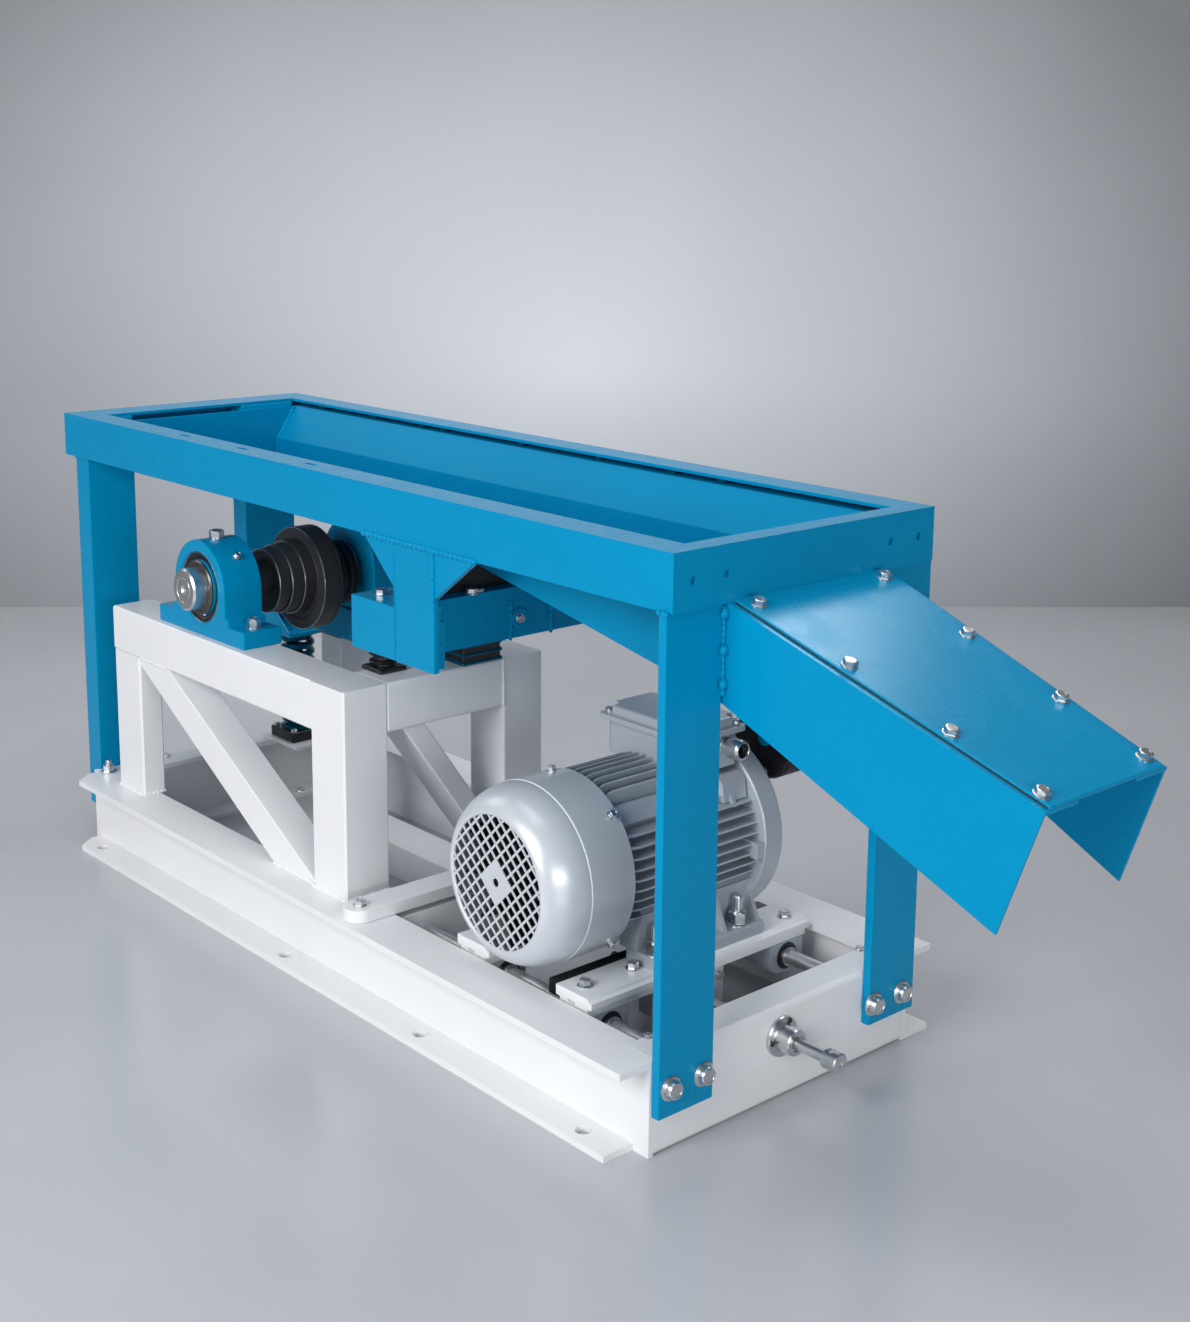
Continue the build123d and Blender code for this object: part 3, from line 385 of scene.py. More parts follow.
def hex_head(flats, head, washer, thick, stud=0.0):
    """A hexagon head on a rounded washer, chamfered on top, with a short stud end where it is a nut."""
    ring = turned([(0, 0), (washer / 2, 0), (washer / 2, thick * 0.7), (washer / 2 - thick * 0.4, thick),
                   (0, thick)], around=32)
    bpy.ops.object.select_all(action="DESELECT")
    bpy.ops.mesh.primitive_cylinder_add(vertices=6, radius=flats / math.sqrt(3) * MM, depth=head * MM,
                                        location=(0, 0, (thick + head / 2) * MM))
    made = bpy.context.object
    bpy.ops.object.transform_apply(location=True, rotation=True, scale=True)
    cap = turned([(0, 0), (flats * 0.62, 0), (flats * 0.62, thick + head * 0.72), (flats * 0.47, thick + head),
                  (flats * 0.36, thick + head), (flats * 0.33, thick + head * 0.94), (0, thick + head * 0.94)])
    trimmed(made, cap, "INTERSECT")
    parts = [ring, made]
    if stud:
        parts.append(turned([(0, thick), (flats * 0.31, thick), (flats * 0.31, thick + head + stud * 0.85),
                             (flats * 0.26, thick + head + stud), (0, thick + head + stud)], around=24))
    return stripped(joined(parts))


def metal(name, tone, rough, grain=0.06):
    """Bare or plated metal with a faint grain and small duller places."""
    made, shader, place = finish_named(name, Metallic=1.0)
    dull = cloud(place, 90.0, 4.0, 0.6).between(0.4, 0.75)
    feed(shader, Base_Color=dull.mix(tone, shade(tone, 0.86)), Roughness=rough + grain * dull,
         Normal=raised(cloud(place, 900.0, 2.0), 0.05, 0.0002))
    return made


UP, DOWN, OUT, BACK, NEAR, FAR = (0, 0, 1), (0, 0, -1), (1, 0, 0), (-1, 0, 0), (0, -1, 0), (0, 1, 0)
END_X, WEB_OUT, BEAM_TOP = 747.5, 250.2, 130
FLANGE_IN, FLANGE_OUT, FLANGE_THICK, FLANGE_FEET = 251, 300, 9, (0, 121)
NEAR_FLANGE_END, REAR_FLANGE_END = 719, -712
ANCHOR_X, ANCHOR_Y, ANCHOR_R = (653.5, 302.5, -48.5, -653.5), 275, 11.5


def square_ended(beams):
    """Squares the flanges' ends, short of the end at the rear, and opens out the anchor holes."""
    for side in (-1, 1):
        for z in FLANGE_FEET:
            corner = [(END_X - 44, FLANGE_IN), (END_X, FLANGE_IN), (END_X, FLANGE_OUT), (END_X - 44, FLANGE_OUT)]
            trimmed(beams, plate([(x, side * y) for x, y in corner], z, z + FLANGE_THICK, "Z"), "UNION")
            spare = [(-END_X - 9, WEB_OUT), (REAR_FLANGE_END, WEB_OUT), (REAR_FLANGE_END, FLANGE_OUT + 10),
                     (-END_X - 9, FLANGE_OUT + 10)]
            trimmed(beams, plate([(x, side * y) for x, y in spare], z - 1.3, z + FLANGE_THICK + 3, "Z"))
        for x in ANCHOR_X:
            hole = [(0, -1), (ANCHOR_R, -1), (ANCHOR_R, FLANGE_THICK + 3), (0, FLANGE_THICK + 3)]
            trimmed(beams, turned(hole, (x, side * ANCHOR_Y, 0), UP, 40))
    trimmed(beams, bar((NEAR_FLANGE_END, -FLANGE_OUT - 10, -1), (END_X + 5, -WEB_OUT, FLANGE_THICK + 3)))


from_solid("side_beams", white_enamel, EDGE, cut=square_ended)
from_solid("end_channels", white_enamel, 0.006, steps=4)
zinc_plate = metal("zinc_plate", (0.70, 0.715, 0.73), 0.27)
m12_bolt = hex_head(18, 7.5, 25, 2.4)
m10_bolt = hex_head(16, 6.6, 21, 2.0)
m8_bolt = hex_head(13, 5.4, 17, 1.6)
m6_bolt = hex_head(10, 4.2, 13, 1.2)
set_out("rear_stud_nuts", hex_head(18, 12, 28, 3, stud=8),
        [((-698, -237, BEAM_TOP), UP, 8), ((-698, 237, BEAM_TOP), UP, 20)], zinc_plate)
set_out("rear_channel_bolts", m8_bolt, [((-709, -116, BEAM_TOP), UP, 33), ((-559, 80, 60), UP, 5)], zinc_plate)
set_out("front_channel_bolts", m6_bolt, [((696, -206, BEAM_TOP), UP, 14), ((696, 206, BEAM_TOP), UP, 41)],
        zinc_plate)

# Tie bar and rod member. A flat bar with round ends lies across both beams under the trestle's front
# post, bolted at each end. A folded channel stands below it and takes the rear ends of the guide rods.
from_solid("tie_bar", white_enamel, 0.0025)
from_solid("rod_cross_member", white_enamel, EDGE)
from_solid("low_frame", white_enamel, EDGE)
set_out("tie_bar_bolts", m10_bolt, [((146, -268, 150), UP, 12), ((146, 268, 150), UP, 40)], zinc_plate)

# Trestle. Square tube with rolled corners carries the shaft's bearings: a near frame with a diagonal,
# a far frame with a blue rail, and a braced front end. All joints are welded, as the beads show.
def with_rail(posts):
    """Makes the near top rail one welded and ground shape with the near posts."""
    rail = bpy.data.objects.new("rail_tube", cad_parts["near_top_rail"].data.copy())
    bpy.context.scene.collection.objects.link(rail)
    trimmed(posts, rail, "UNION")
    trimmed(posts, bar((-9, -250, 381), (0, -244, 452)), "UNION")


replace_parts(from_solid("near_posts", white_enamel, 0.003, steps=3, cut=with_rail), "near_top_rail")
from_solid("front_end_rail", white_enamel, 0.003, steps=3)
for node in ("post_seat", "far_posts"):
    from_solid(node, white_enamel, 0.0016)


def slender(diagonal):
    """Leaves the diagonal a slender tube that runs higher at the rear than its solid."""
    kept = [(-545, 382), (-457, 382), (0, 131.5), (0, 125), (-117, 125), (-545, 364.5)]
    trimmed(diagonal, plate(kept, -250, -180), "INTERSECT")


from_solid("near_diagonal", white_enamel, 0.003, steps=3, cut=slender)


def slimmed(brace):
    """Leaves the end brace a slim tube, along the upper side of its solid."""
    trimmed(brace, plate([(-139, 378), (-97, 378), (52, 165), (52, 106)], 0, 80, "X"), "INTERSECT")


from_solid("front_end_brace", white_enamel, 0.003, steps=3, cut=slimmed)


def bead(name, runs, finish, slot, radius=0.0035, body="base"):
    """Runs of hand weld: overlapping flattened ripples, a little uneven along their line."""
    ripples = []
    for number, (start, end) in enumerate(runs):
        a, b = Vector(start) * MM, Vector(end) * MM
        count = max(2, round((b - a).length / (radius * 0.85)))
        bpy.ops.object.select_all(action="DESELECT")
        bpy.ops.mesh.primitive_uv_sphere_add(segments=8, ring_count=5, radius=radius, location=a)
        ripple = bpy.context.object
        bpy.ops.object.transform_apply(location=True, rotation=True, scale=True)
        modified(ripple, "ARRAY", count=count, use_relative_offset=False, use_constant_offset=True,
                 constant_offset_displace=(b - a) / (count - 1))
        each = len(ripple.data.vertices) // count
        for i, vertex in enumerate(ripple.data.vertices):
            step = i // each
            middle = a + (b - a) * (step / (count - 1))
            swell = 1.0 + 0.22 * math.sin(step * 1.9 + number) + 0.12 * math.sin(step * 0.61 + 2 * number)
            vertex.co = middle + (vertex.co - middle) * swell
        ripples.append(ripple)
    return settled(finished(joined(ripples), finish), name, body, slot)


bead("trestle_welds", [
    ((83.5, 52, 380), (83.5, 52, 453)),
    ((85, -248, 130.5), (85, -172, 130.5)), ((-6, -251, 130.5), (82, -251, 130.5)),
    ((-540, -210, 131), (-540, -248, 131)), ((-626, -251, 130.5), (-542, -251, 130.5)),
    ((-124, -247, 131), (-8, -247, 131)),
    ((-541, -247, 364), (-541, -247, 376)), ((-538, -247, 378), (-453, -247, 378))],
    white_enamel, "white_paint", 0.0026)

# Rubber mounts between the trestle and the cross beam. The bellows are moulded black rubber between
# bolted steel plates, and the pad is rubber cured between rounded steel plates painted dark blue.
rubber, shader, place = finish_named("black_rubber", Specular_IOR_Level=0.5)
chalk = cloud(place, 30.0, 4.0).between(0.45, 0.8)
feed(shader, Base_Color=chalk.mix((0.009, 0.009, 0.010), (0.022, 0.023, 0.025)), Roughness=0.3 + 0.2 * chalk,
     Normal=raised(cloud(place, 600.0, 3.0), 0.12, 0.0004))
TRESTLE_TOP, BEAM_UNDER, MOUNT_PLATE = 455, 528, 8
RIB, NECK, RIB_COUNT = 23, 16, 5
bellows = []
BELLOWS_AT = (15.5, -128), (-30.5, 92)
for x, y in BELLOWS_AT:
    low, high = TRESTLE_TOP + MOUNT_PLATE, BEAM_UNDER - MOUNT_PLATE
    pitch = (high - low) / RIB_COUNT
    outline = [(0, low - 1), (RIB, low - 1), (RIB, low)]
    for i in range(RIB_COUNT):
        z = low + pitch * i
        outline += [(NECK, z + pitch * 0.08), (NECK, z + pitch * 0.3), (RIB - 1.5, z + pitch * 0.46),
                    (RIB, z + pitch * 0.62), (RIB - 1.5, z + pitch * 0.78), (NECK, z + pitch * 0.94)]
    outline += [(RIB, high), (0, high)]
    bellows.append(turned(outline, (x, y, 0), around=40))
    for z in (TRESTLE_TOP, high):
        foot = bar((x - 26, y - 26, z), (x + 26, y + 26, z + MOUNT_PLATE))
        modified(foot, "BEVEL", width=0.006, segments=3, limit_method="ANGLE", affect="EDGES")
        bellows.append(foot)
settled(finished(joined(bellows), rubber, 0.0005, 1), "bellows_shape", "base", "black_rubber", "bellows_mounts")
bolts_down = [((x, y, BEAM_UNDER - MOUNT_PLATE), DOWN, turn) for (x, y), turn in zip(BELLOWS_AT, (3, 9))]
set_out("bellows_bolts", hex_head(10, 8, 17, 3), bolts_down, zinc_plate)
BLUE, BLUE_GLINT = (0.0005, 0.262, 0.50), (0.1, 0.72, 1.0)
blue_enamel = enamel("blue_enamel", BLUE, 0.26, BLUE_GLINT)
dark_blue = enamel("dark_blue_enamel", shade(BLUE, 0.22), 0.22, BLUE_GLINT)
leaves = bar((29.5, -25, TRESTLE_TOP + 1), (81.5, 49, BEAM_UNDER - 1))
settled(finished(leaves, rubber, 0.004, 3), "pad_rubber", "base", "black_rubber", "laminated_pad")
shelves = bar((27.5, -27, TRESTLE_TOP), (83.5, 51, TRESTLE_TOP + 6))
modified(shelves, "BEVEL", width=0.0028, segments=3, limit_method="ANGLE")
repeated(shelves, 6, (0, 0, 13.4))
settled(finished(shelves, dark_blue), "pad_plates", "base", "black_rubber")

# Coil spring under the sprung leg. Its wire and the pressed cups at its ends are dark blue, and it
# stands on a square rubber base, bolted down at its corners.
SPRING_X, SPRING_Y, SPRING_LOW, SPRING_HIGH = -642.5, 133, 158, 345
COIL_R, WIRE_R, TURNS, STEPS_A_TURN = 26, 6.5, 10, 28
black_enamel = enamel("black_satin", (0.033, 0.033, 0.034), 0.42)
bpy.ops.object.select_all(action="DESELECT")
bpy.ops.mesh.primitive_circle_add(vertices=14, radius=WIRE_R * MM, fill_type="NOTHING",
                                  rotation=(math.pi / 2, 0, 0), location=(COIL_R * MM, 0, 0))
coil = bpy.context.object
bpy.ops.object.transform_apply(location=True, rotation=True, scale=True)
modified(coil, "SCREW", angle=2 * math.pi * TURNS, screw_offset=(SPRING_HIGH - SPRING_LOW - 2 * WIRE_R) * MM,
         steps=STEPS_A_TURN * TURNS, render_steps=STEPS_A_TURN * TURNS, axis="Z")
coil.data.transform(Matrix.Translation(Vector((SPRING_X, SPRING_Y, SPRING_LOW + WIRE_R)) * MM))
settled(finished(outward(coil), dark_blue), "spring_wire", "base", "black_paint", "coil_spring")
cup = [(12, 0), (33, 0), (33, 5), (31, 7), (24, 7), (21, 12), (17, 14), (12, 14), (12, 0)]
guide_pin = [(0, 0), (10, 0), (10, 150), (0, 150)]
cups = [turned(cup, (SPRING_X, SPRING_Y, SPRING_LOW), UP), turned(cup, (SPRING_X, SPRING_Y, SPRING_HIGH), DOWN),
        turned(guide_pin, (SPRING_X, SPRING_Y, SPRING_LOW + 7))]
settled(finished(joined(cups), dark_blue, 0.0006, 1), "spring_cups", "base", "blue_paint")
from_solid("spring_rubber_base", rubber, 0.003, slot="black_rubber", steps=3)
from_solid("spring_seat", white_enamel, 0.0015)
corners = [((SPRING_X + dx, SPRING_Y + dy, SPRING_LOW), UP, 7 * dx) for dx in (-31, 31) for dy in (-31, 31)]
set_out("spring_base_bolts", m6_bolt, corners, zinc_plate)

# Bearings. Two cast pillow blocks in blue enamel are bolted to the trestle's rails, each with a
# spherical insert in its bore: a dark seal round a bright inner ring that grips the shaft.
from_solid("bearings", blue_enamel, 0.003, slot="blue_paint", steps=3)
from_solid("far_top_rail", blue_enamel, 0.0016, slot="blue_paint")
ground_steel = metal("ground_steel", (0.66, 0.67, 0.68), 0.3)
SHAFT_X, SHAFT_Z, SPLIT_NEAR, SPLIT_FAR = -352.5, 534.4, -200, 92
seal = [(45.8, 0), (57.5, 0), (57.5, 2), (54, 2.5), (51, 4.5), (47, 4.5), (45.8, 3), (45.8, 0)]
race = [(56.5, 0), (58.9, 0), (58.9, 6.5), (57.6, 8), (56.5, 6.5), (56.5, 0)]
collar = [(35.1, 0), (45.5, 0), (45.5, 11), (43.5, 13.5), (38.5, 13.5), (37.5, 12.5), (35.1, 12.5), (35.1, 0)]
seals, races, collars = [], [], []
for face, facing in ((-226, NEAR), (118, FAR)):
    for outline, made in ((seal, seals), (race, races), (collar, collars)):
        made.append(turned(outline, (SHAFT_X, face, SHAFT_Z), facing, 72))
settled(finished(joined(seals), rubber), "bearing_seals", "base", "black_rubber")
settled(finished(joined(races), ground_steel), "bearing_races", "base", "bright_steel")
smoked_steel = metal("smoked_steel", (0.16, 0.155, 0.15), 0.3)
settled(finished(joined(collars), smoked_steel), "bearing_collars", "rotor", "bright_steel")
grub = stripped(turned([(0, 0), (4, 0), (4, 1.2), (2.2, 1.8), (2, 0.6), (0, 0.6)], around=16))


def spoke(degrees):
    """The direction at an angle round the Y axis, from +X towards +Z."""
    return Vector((math.cos(math.radians(degrees)), 0, math.sin(math.radians(degrees))))


grubs = [(Vector((SHAFT_X, y, SHAFT_Z)) + spoke(angle) * 45.3, spoke(angle))
         for y in (-232.5, 124.5) for angle in (-118, -75)]
set_out("collar_screws", grub, grubs, zinc_plate, "rotor")
feet = [((x, y, 483), UP, turn) for x, turn in ((-464, 10), (-244, 24)) for y in (SPLIT_NEAR, SPLIT_FAR)]
set_out("block_foot_bolts", hex_head(20, 13, 27, 2.5), feet, zinc_plate)
tops = [((SHAFT_X, y, 612.4), UP, 17) for y in (SPLIT_NEAR, SPLIT_FAR)]
set_out("block_top_bolts", hex_head(22, 11, 26, 2.5), tops, zinc_plate)
nipples = [(Vector((SHAFT_X, y, SHAFT_Z)) + spoke(45) * 78, spoke(45), 12) for y in (SPLIT_NEAR + 4, SPLIT_FAR + 4)]
set_out("grease_bolts", hex_head(10, 6, 15, 1.5), nipples, zinc_plate)

# Rotor. The shaft is ground steel. The stepped pulley, flywheel and sheave stand off its centre as an
# eccentric weight, of turned cast iron, blackened, with their machined edges worn brighter. The thin
# bright rims on those edges are also a painted highlight.
shaft = turned([(0, -257), (4.5, -258), (4.5, -261), (8, -264), (19, -264), (19.6, -263.2), (21.4, -263.2),
                (22, -264), (31.5, -264), (35, -261), (35, -158), (26, -158), (26, 50), (35, 50), (35, 153),
                (32, 156), (8, 156), (4.5, 153), (0, 150)], (SHAFT_X, 0, SHAFT_Z), FAR, 64)
settled(finished(shaft, ground_steel), "shaft_shape", "rotor", "bright_steel", "drive_shaft")
WHEEL_THROW, STEP_THROW, STEP_RS, WHEEL_R = 11, 6, (54.5, 58.5, 62.5), 88
WHEEL_Z, STEP_Z = SHAFT_Z - WHEEL_THROW, SHAFT_Z - STEP_THROW
steps = [(0, -113), (47, -113), (48, -115), (53.4, -115), (54.5, -114), (54.5, -94.2), (52, -93.2), (52, -93),
         (57.4, -93), (58.5, -92), (58.5, -72.2), (56, -71.2), (56, -71), (61.4, -71), (62.5, -70), (62.5, -49),
         (0, -49)]
wheel = [(0, -49), (66, -49), (67, -47.6), (69, -47.6), (70, -49), (86.4, -49), (88, -47.6), (88, -19),
         (86.8, -18.6), (86.8, -17), (88, -16.6), (88, -12.6), (86.4, -11), (0, -11)]
sheave = [(0, -11), (52, -11), (52, -6), (55.5, -3), (55.5, 2.5), (50, 6), (50, 8), (55.5, 11.5), (55.5, 17),
          (50, 20.5), (50, 22.5), (55.5, 26), (55.5, 31.5), (52.5, 34), (52.5, 36), (55.5, 37.5), (55.5, 39.5),
          (53.5, 41), (0, 41)]
hub = [(26, -157), (29, -157), (34, -153), (34, -149), (30.5, -146), (30.5, -114), (26, -114), (26, -157)]
for name, outline, node, z in (("stepped_pulley_shape", steps, "stepped_pulley", STEP_Z),
                               ("flywheel_shape", wheel, "flywheel", WHEEL_Z),
                               ("sheave_shape", sheave, "grooved_sheave", WHEEL_Z)):
    settled(finished(turned(outline, (SHAFT_X, 0, z), FAR, 96), black_enamel), name, "rotor", "black_paint", node)
settled(finished(turned(hub, (SHAFT_X, 0, SHAFT_Z), FAR, 64), black_enamel), "hub", "rotor", "black_paint")
# Thin rims of lighter steel on the machined edges show wear, and also serve as a painted highlight along those edges.
worn_and_highlight_steel = metal("worn_and_highlight_steel", (0.42, 0.43, 0.44), 0.3)
rims = []
for r, y, z in (*zip(STEP_RS, (-115, -93, -71), (STEP_Z,) * 3), (WHEEL_R, -49, WHEEL_Z), (34, -153, SHAFT_Z)):
    rims.append(turned([(r - 1.8, y - 0.1), (r - 0.5, y - 0.15), (r + 0.15, y + 0.7), (r + 0.15, y + 1.3),
                        (r - 1.8, y + 1.3), (r - 1.8, y - 0.1)], (SHAFT_X, 0, z), FAR, 96))
settled(finished(joined(rims), worn_and_highlight_steel), "worn_and_highlight_rims", "rotor", "bright_steel")

# Blue frame. The rim is folded angle, mitred at its corners. Flat bars stand under its front corners
# and channels under its rear end, and two hangers carry the cross beam below it.
def slotted(rim):
    """Cuts three slots through the near rim's top."""
    for x in (-423, -241, -46):
        slot = [(x - 13, -217), (x + 13, -217), (x + 15, -213), (x + 13, -209), (x - 13, -209), (x - 15, -213)]
        trimmed(rim, plate(slot, 765, 780, "Z"))


from_solid("rim_sides", blue_enamel, 0.002, slot="blue_paint", cut=slotted)
for node in ("rim_ends", "front_legs", "rear_leg", "sprung_leg", "hangers", "cross_beam", "drum_hanger"):
    from_solid(node, blue_enamel, 0.002, slot="blue_paint")
# The black rubber packing between the cross beam and the trough also closes the gap that shows dark there. Its black
# is partly painted shade.
from_solid("beam_packing", rubber, 0.002, slot="black_rubber")
LEG_FACE, REAR_LEG_FACE, BEAM_Z = 761.5, -773.5, 606
flange_bolt = turned([(0, 0), (16.8, 0), (16.8, 2.4), (15, 4.4), (12.6, 4.6), (12.2, 11), (10.6, 13), (8.2, 13.4),
                      (7.6, 12.8), (0, 12.8)], around=40)
leg_bolts = [((LEG_FACE, y, z), OUT) for y, z in ((-228, 94), (-171, 94), (160, 86), (219, 86))]
set_out("leg_bolts", stripped(flange_bolt), leg_bolts, zinc_plate)
set_out("rear_leg_bolts", m12_bolt, [((REAR_LEG_FACE, y, 83), BACK, 9) for y in (-211, -173)], zinc_plate)
set_out("beam_bolts", m10_bolt,
        [((129, -211, BEAM_Z), UP, 8), ((208, -107, BEAM_Z), UP, 20), ((129, 211, BEAM_Z), UP, 31)], zinc_plate)
dish = turned([(0, 0), (16, 0), (16, 2.5), (14, 5), (10, 5), (9, 3.5), (0, 3.5)], (213, -23, 558), OUT, 40)
settled(finished(dish, blue_enamel), "beam_boss", "base", "blue_paint")
set_out("beam_side_bolt", hex_head(11, 4, 15, 1), [((216.2, -23, 558), OUT, 12)], zinc_plate)
settled(finished(bar((188, -100, BEAM_Z), (212, -87, BEAM_Z + 6)), zinc_plate, 0.0012), "beam_key", "base",
        "bright_steel")
bead("hanger_welds", [
    ((131, -242.5, 701.5), (389, -242.5, 701.5)), ((131, 242.5, 701.5), (389, 242.5, 701.5)),
    ((297, -242.5, 697), (297, -242.5, 634)), ((297, 242.5, 697), (297, 242.5, 634)),
    ((291.5, -229, 558), (291.5, -229, 619)), ((213.5, -39, 528), (213.5, -39, 584)),
    ((213.5, 39, 528), (213.5, 39, 584))], blue_enamel, "blue_paint", 0.0036)
bead("hanger_seams", [((206, -242, 699), (206, -242, 530)), ((206, 242, 699), (206, 242, 530))],
     blue_enamel, "blue_paint", 0.0011)
bead("leg_welds", [
    ((762, -151, 696), (762, -151, 588)), ((762, 151, 696), (762, 151, 588)),
    ((748, -247.5, 701), (762, -247.5, 701)), ((-728, -237.5, 700), (-772, -237.5, 700))],
    blue_enamel, "blue_paint", 0.0028)
tacks = [((763, side * 152, z), OUT, 40 * z) for side in (-1, 1) for z in (688, 643, 600)]
tack = turned([(0, 0), (7, 0), (7.5, 2), (6, 4.5), (3, 6), (0, 6.4)], around=12)
set_out("chute_tacks", stripped(tack), tacks, blue_enamel, slot="blue_paint")
tabs = [((x, 205, 762), UP, x - END_X) for x in (-650.5, -479.5, -335.5, -271.5, -58.5, 135.5, 299.5, 406.5)]
set_out("lip_bolts", m8_bolt, tabs, dark_blue, slot="blue_paint")

# Trough. Folded sheet, open on top, with a lip that lies on the rim's wall, a floor that drops
# towards the outlet, and a sheet across its rear end. Everything is welded and painted blue.
# The trough's enamel is the blue made 0.9 as dark and rougher. The darkening is painted shade for the trough's shaded
# inside.
trough_painted_shade_enamel = enamel("trough_painted_shade_enamel", shade(BLUE, 0.9), 0.5, BLUE_GLINT)
for node in ("trough_walls", "trough_floor", "trough_rear_sheet"):
    from_solid(node, trough_painted_shade_enamel, 0.001, slot="blue_paint")
bead("trough_welds", [((-722, 146, 674), (258, 146, 670)), ((-722, -146, 674), (258, -146, 670)),
                      ((-722, -186, 758), (-722, -150, 705)), ((-722, 186, 758), (-722, 150, 705))],
     blue_enamel, "blue_paint", 0.003)

# Chute. Two side sheets fold in at the top and taper towards the end, and a flat lid is bolted down
# on the folds by eight hexagon bolts with washers. A thin black bead along each fold is painted shade
# for the narrow groove between lid and fold.
from_solid("chute_walls", blue_enamel, 0.0012, slot="blue_paint")
from_solid("chute_lid", blue_enamel, 0.0012, slot="blue_paint")
SLOPE, LID_RUN = math.radians(18.8), 467
down = Vector((math.cos(SLOPE), 0, -math.sin(SLOPE)))
lid_normal = Vector((math.sin(SLOPE), 0, math.cos(SLOPE)))
lid_start = Vector((766.5, 0, 701)) + lid_normal * 4.0
lid_bolts = []
for along in (20, 168, 320, 446):
    spot = lid_start + down * along
    reach = 118 - 20 * along / LID_RUN
    lid_bolts += [(spot + Vector((0, side * reach, 0)), lid_normal, 17 * along) for side in (-1, 1)]
set_out("lid_bolts", m10_bolt, lid_bolts, zinc_plate)
# Thin black rubber beads along the folds are painted shade for the groove under the lid's edges.
groove_start = lid_start - lid_normal * 3.2
bead("lid_groove_painted_shade", [(groove_start + Vector((0, side * 139.6, 0)) + down * 3,
                    groove_start + Vector((0, side * 109.2, 0)) + down * 462) for side in (-1, 1)],
     rubber, "black_rubber", 0.0011)

# Motor. The body is a grey-painted casting with cooling fins, upright on top and level at the sides,
# inside one round envelope. Flat lands run along its corners, and ribbed feet stand under it.
GREY = (0.45, 0.495, 0.55)
motor_enamel = enamel("grey_enamel", GREY, 0.33, flake=0.25)
AXIS_X, AXIS_Z = 451.5, 276
CENTRE = (AXIS_X, 0, AXIS_Z)


def from_axis(*points):
    """Points given from the motor's axis."""
    return [(AXIS_X + u, AXIS_Z + v) for u, v in points]


def swung(piece, angle):
    """Turns a piece about the motor's axis by an angle in degrees."""
    about = Matrix.Translation(Vector(CENTRE) * MM)
    piece.data.transform(about @ Matrix.Rotation(math.radians(angle), 4, "Y") @ about.inverted())
    return piece


def enveloped(fins):
    """Keeps what lies inside the casting's round envelope, which rounds off the fins' near ends."""
    round_off = [(0, -120), (101, -120), (110, -119), (117, -115), (121, -109), (123, -100), (123, 123), (0, 123)]
    return trimmed(fins, turned(round_off, CENTRE, FAR, 96), "INTERSECT")


FIN, FIN_COUNT, TOP_PITCH, SIDE_PITCH = 1.5, 9, 14.52, 14.8
FIRST_TOP, FIRST_SIDE, PAST_ENDS = -58.1, -59.2, (-121, 123)
top_fin = plate(from_axis((FIRST_TOP - FIN, -115), (FIRST_TOP + FIN, -115), (FIRST_TOP + FIN, 124),
                          (FIRST_TOP - FIN, 124)), *PAST_ENDS)
side_fin = plate(from_axis((-124, FIRST_SIDE - FIN), (124, FIRST_SIDE - FIN), (124, FIRST_SIDE + FIN),
                           (-124, FIRST_SIDE + FIN)), *PAST_ENDS)
body = [enveloped(repeated(top_fin, FIN_COUNT, (TOP_PITCH, 0, 0))),
        enveloped(repeated(side_fin, FIN_COUNT, (0, 0, SIDE_PITCH)))]
for angle in (45, -45):
    land = plate(from_axis((-15, -116), (15, -116), (15, 116), (-15, 116)), *PAST_ENDS)
    body.append(enveloped(swung(land, angle)))
body.append(turned([(0, -120), (96, -120), (96, 123), (0, 123)], CENTRE, FAR, 96))
body.append(plate(from_axis((72, 62), (100, 62), (96, 88), (84, 99), (60, 99)), 74, 119))
body.append(plate(from_axis((90, 60), (108, 56), (86, 96)), 86, 92))
FOOT = (76, 144), (136, 144), (136, 159), (133, 162), (76, 162)
WEB = (62, 160), (96, 160), (108, 216), (88, 232), (62, 200)
GUSSET = (90, 161), (130, 161), (104, 214), (90, 214)
for side in (-1, 1):
    foot, web, gusset = [[(side * u + AXIS_X, v) for u, v in outline] for outline in (FOOT, WEB, GUSSET)]
    slant = plate([(-84, 150), (-108, 216), (-114, 240), (122, 240), (122, 150)], AXIS_X - 140, AXIS_X + 140, "X")
    body += [plate(foot, -88, 123), trimmed(plate(web, -88, 122), slant, "INTERSECT")]
    body += [plate(gusset, y, y + 6) for y in (50, 116)]
settled(finished(joined(body), motor_enamel, 0.0007, 2), "motor_casting", "motor", "motor_paint", "motor_body")
corners = [((AXIS_X + dx, y, 162), UP, 8 * y) for dx in (-118.5, 118.5) for y in (-72, 86.5)]
set_out("foot_studs", hex_head(24, 17, 30, 3, stud=22), corners, zinc_plate, "motor")

